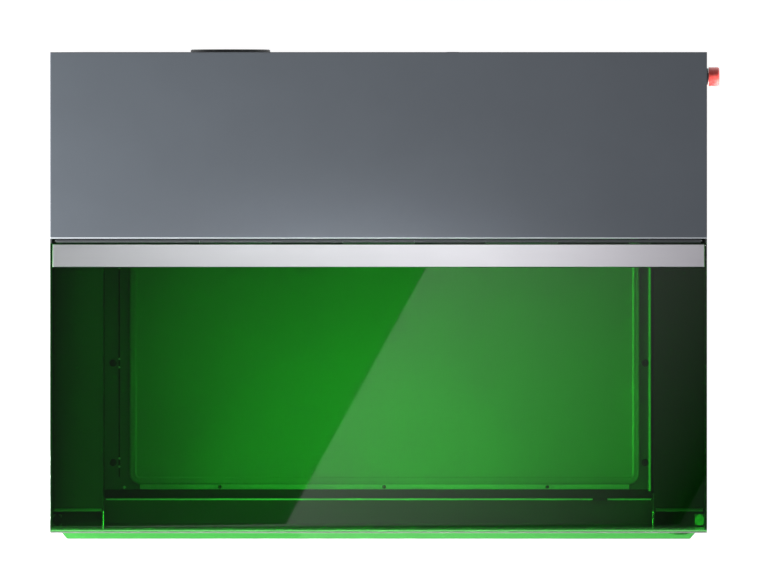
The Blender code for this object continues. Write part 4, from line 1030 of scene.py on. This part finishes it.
# %% Duct ring
outside = (ring_x[1] - ring_x[0]) / 2
inside = 38 * MM
back, lip = ring_y
profile = [(inside, back), (outside, back), (outside, lip - 1.0 * MM), (outside - 1.0 * MM, lip),
           (outside - 3.2 * MM, lip), (outside - 3.6 * MM, lip - 0.6 * MM),
           (outside - 4.4 * MM, lip - 0.6 * MM), (outside - 4.8 * MM, lip), (inside + 1.2 * MM, lip),
           (inside, lip - 1.2 * MM)]
shape = bmesh.new()
add_hoop(shape, profile, ring_centre, "Y", 96)
make_piece("duct_ring", shape, moulded_abs, "base", stands_for=("exhaust_flange",))
print("duct ring", round(2 * outside / MM), "mm across")

# %% [markdown]
# ## The start button
#
# The start button is a slightly domed cap in a turned aluminium ring. A thin clear ring between them
# lights up when the machine is ready.

# %% Start button
button_x, button_y, button_z = ends("start_button")
button_centre = (middle(button_x), middle(button_z))
shape = bmesh.new()
face = button_y[0]
dome = [(0, face + 1.2 * MM), (8.2 * MM, face + 1.2 * MM), (8.2 * MM, face + 0.1 * MM),
        (7.0 * MM, face - 0.15 * MM), (4.5 * MM, face - 0.35 * MM), (0, face - 0.45 * MM)]
add_turned(shape, dome, button_centre, "Y", 48)
make_piece("start_dome", shape, moulded_abs, "start_cap")
bezel_face = ends("start_button_bezel")[1][0]
shape = bmesh.new()
glow_ring = [(9.6 * MM, bezel_face + 0.1 * MM), (10.8 * MM, bezel_face + 0.1 * MM),
             (10.6 * MM, bezel_face - 0.35 * MM), (9.8 * MM, bezel_face - 0.35 * MM)]
add_hoop(shape, glow_ring, button_centre, "Y")
make_piece("start_glow_ring", shape, signal_lens, "base")
print("start button", round((button_x[1] - button_x[0]) / MM, 1), "mm across its collar")

# %% [markdown]
# ## Softened edges
#
# Bent sheet and machined bar never end in a knife edge. A narrow bevel modifier on the solids that
# keep their own mesh gives each edge a thin highlight, and leaves the mesh itself as it was imported.

# %% Bevels on the solids
SOFTENED = {"front_skirt": 0.4, "left_side_panel": 0.4, "right_side_panel": 0.4, "rear_panel": 0.3,
            "left_rail_cover": 0.3, "right_rail_cover": 0.3, "x_beam": 0.6, "laser_module": 0.6,
            "head_carriage": 0.4, "left_truck": 0.4, "right_truck": 0.4, "y_motor": 0.8, "x_motor": 0.8,
            "power_entry": 0.4, "power_rocker": 0.5, "fan_housing": 0.6, "front_baffle": 0.3,
            "flame_sensor": 0.4, "deck_frame": 0.3, "base_pan": 0.4}
for node, width in SOFTENED.items():
    add_bevel(frame["nodes"][node], width, 50)
print("softened", len(SOFTENED), "solids")

# %% [markdown]
# ## The floor
#
# The machine stands on a pale floor that glows a little, so that it stays even and nearly white.

# %% The floor
pale_floor, tree = start_material("pale_floor")
where = add_node(tree, "TexCoord").outputs["Object"]
drift = add_node(tree, "TexNoise", {"Vector": where, "Scale": 0.6, "Detail": 1})
tone = add_node(tree, "Mix", {"Factor": drift.outputs["Fac"], "A": (0.34, 0.34, 0.34, 1),
                              "B": (0.38, 0.38, 0.38, 1)}, data_type="RGBA")
shader = add_node(tree, "BsdfPrincipled", {"Base Color": tone.outputs["Result"], "Roughness": 0.9,
                                           "Emission Color": (1, 1, 1, 1), "Emission Strength": 0.95})
add_node(tree, "OutputMaterial", {"Surface": shader.outputs["BSDF"]})
FLOOR_REACH = 20
shape = bmesh.new()
bmesh.ops.create_circle(shape, cap_ends=True, radius=FLOOR_REACH, segments=64)
mesh = bpy.data.meshes.new("floor")
shape.to_mesh(mesh)
shape.free()
mesh.materials.append(pale_floor)
floor = bpy.data.objects.new("floor", mesh)
bpy.context.scene.collection.objects.link(floor)
floor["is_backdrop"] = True
print("floor", 2 * FLOOR_REACH, "m across")

# %% [markdown]
# ## Sizes at the end
#
# The looks may not grow the object. The two boxes are written side by side, so that they can be
# compared after each run.

# %% Sizes
bpy.context.view_layer.update()
VISUAL_BOX = [list(corner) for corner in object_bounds()]
for name, box in (("solids", CAD_BOX), ("pieces", VISUAL_BOX)):
    print(name, [round((high - low) / MM, 2) for low, high in zip(*box)], "mm")
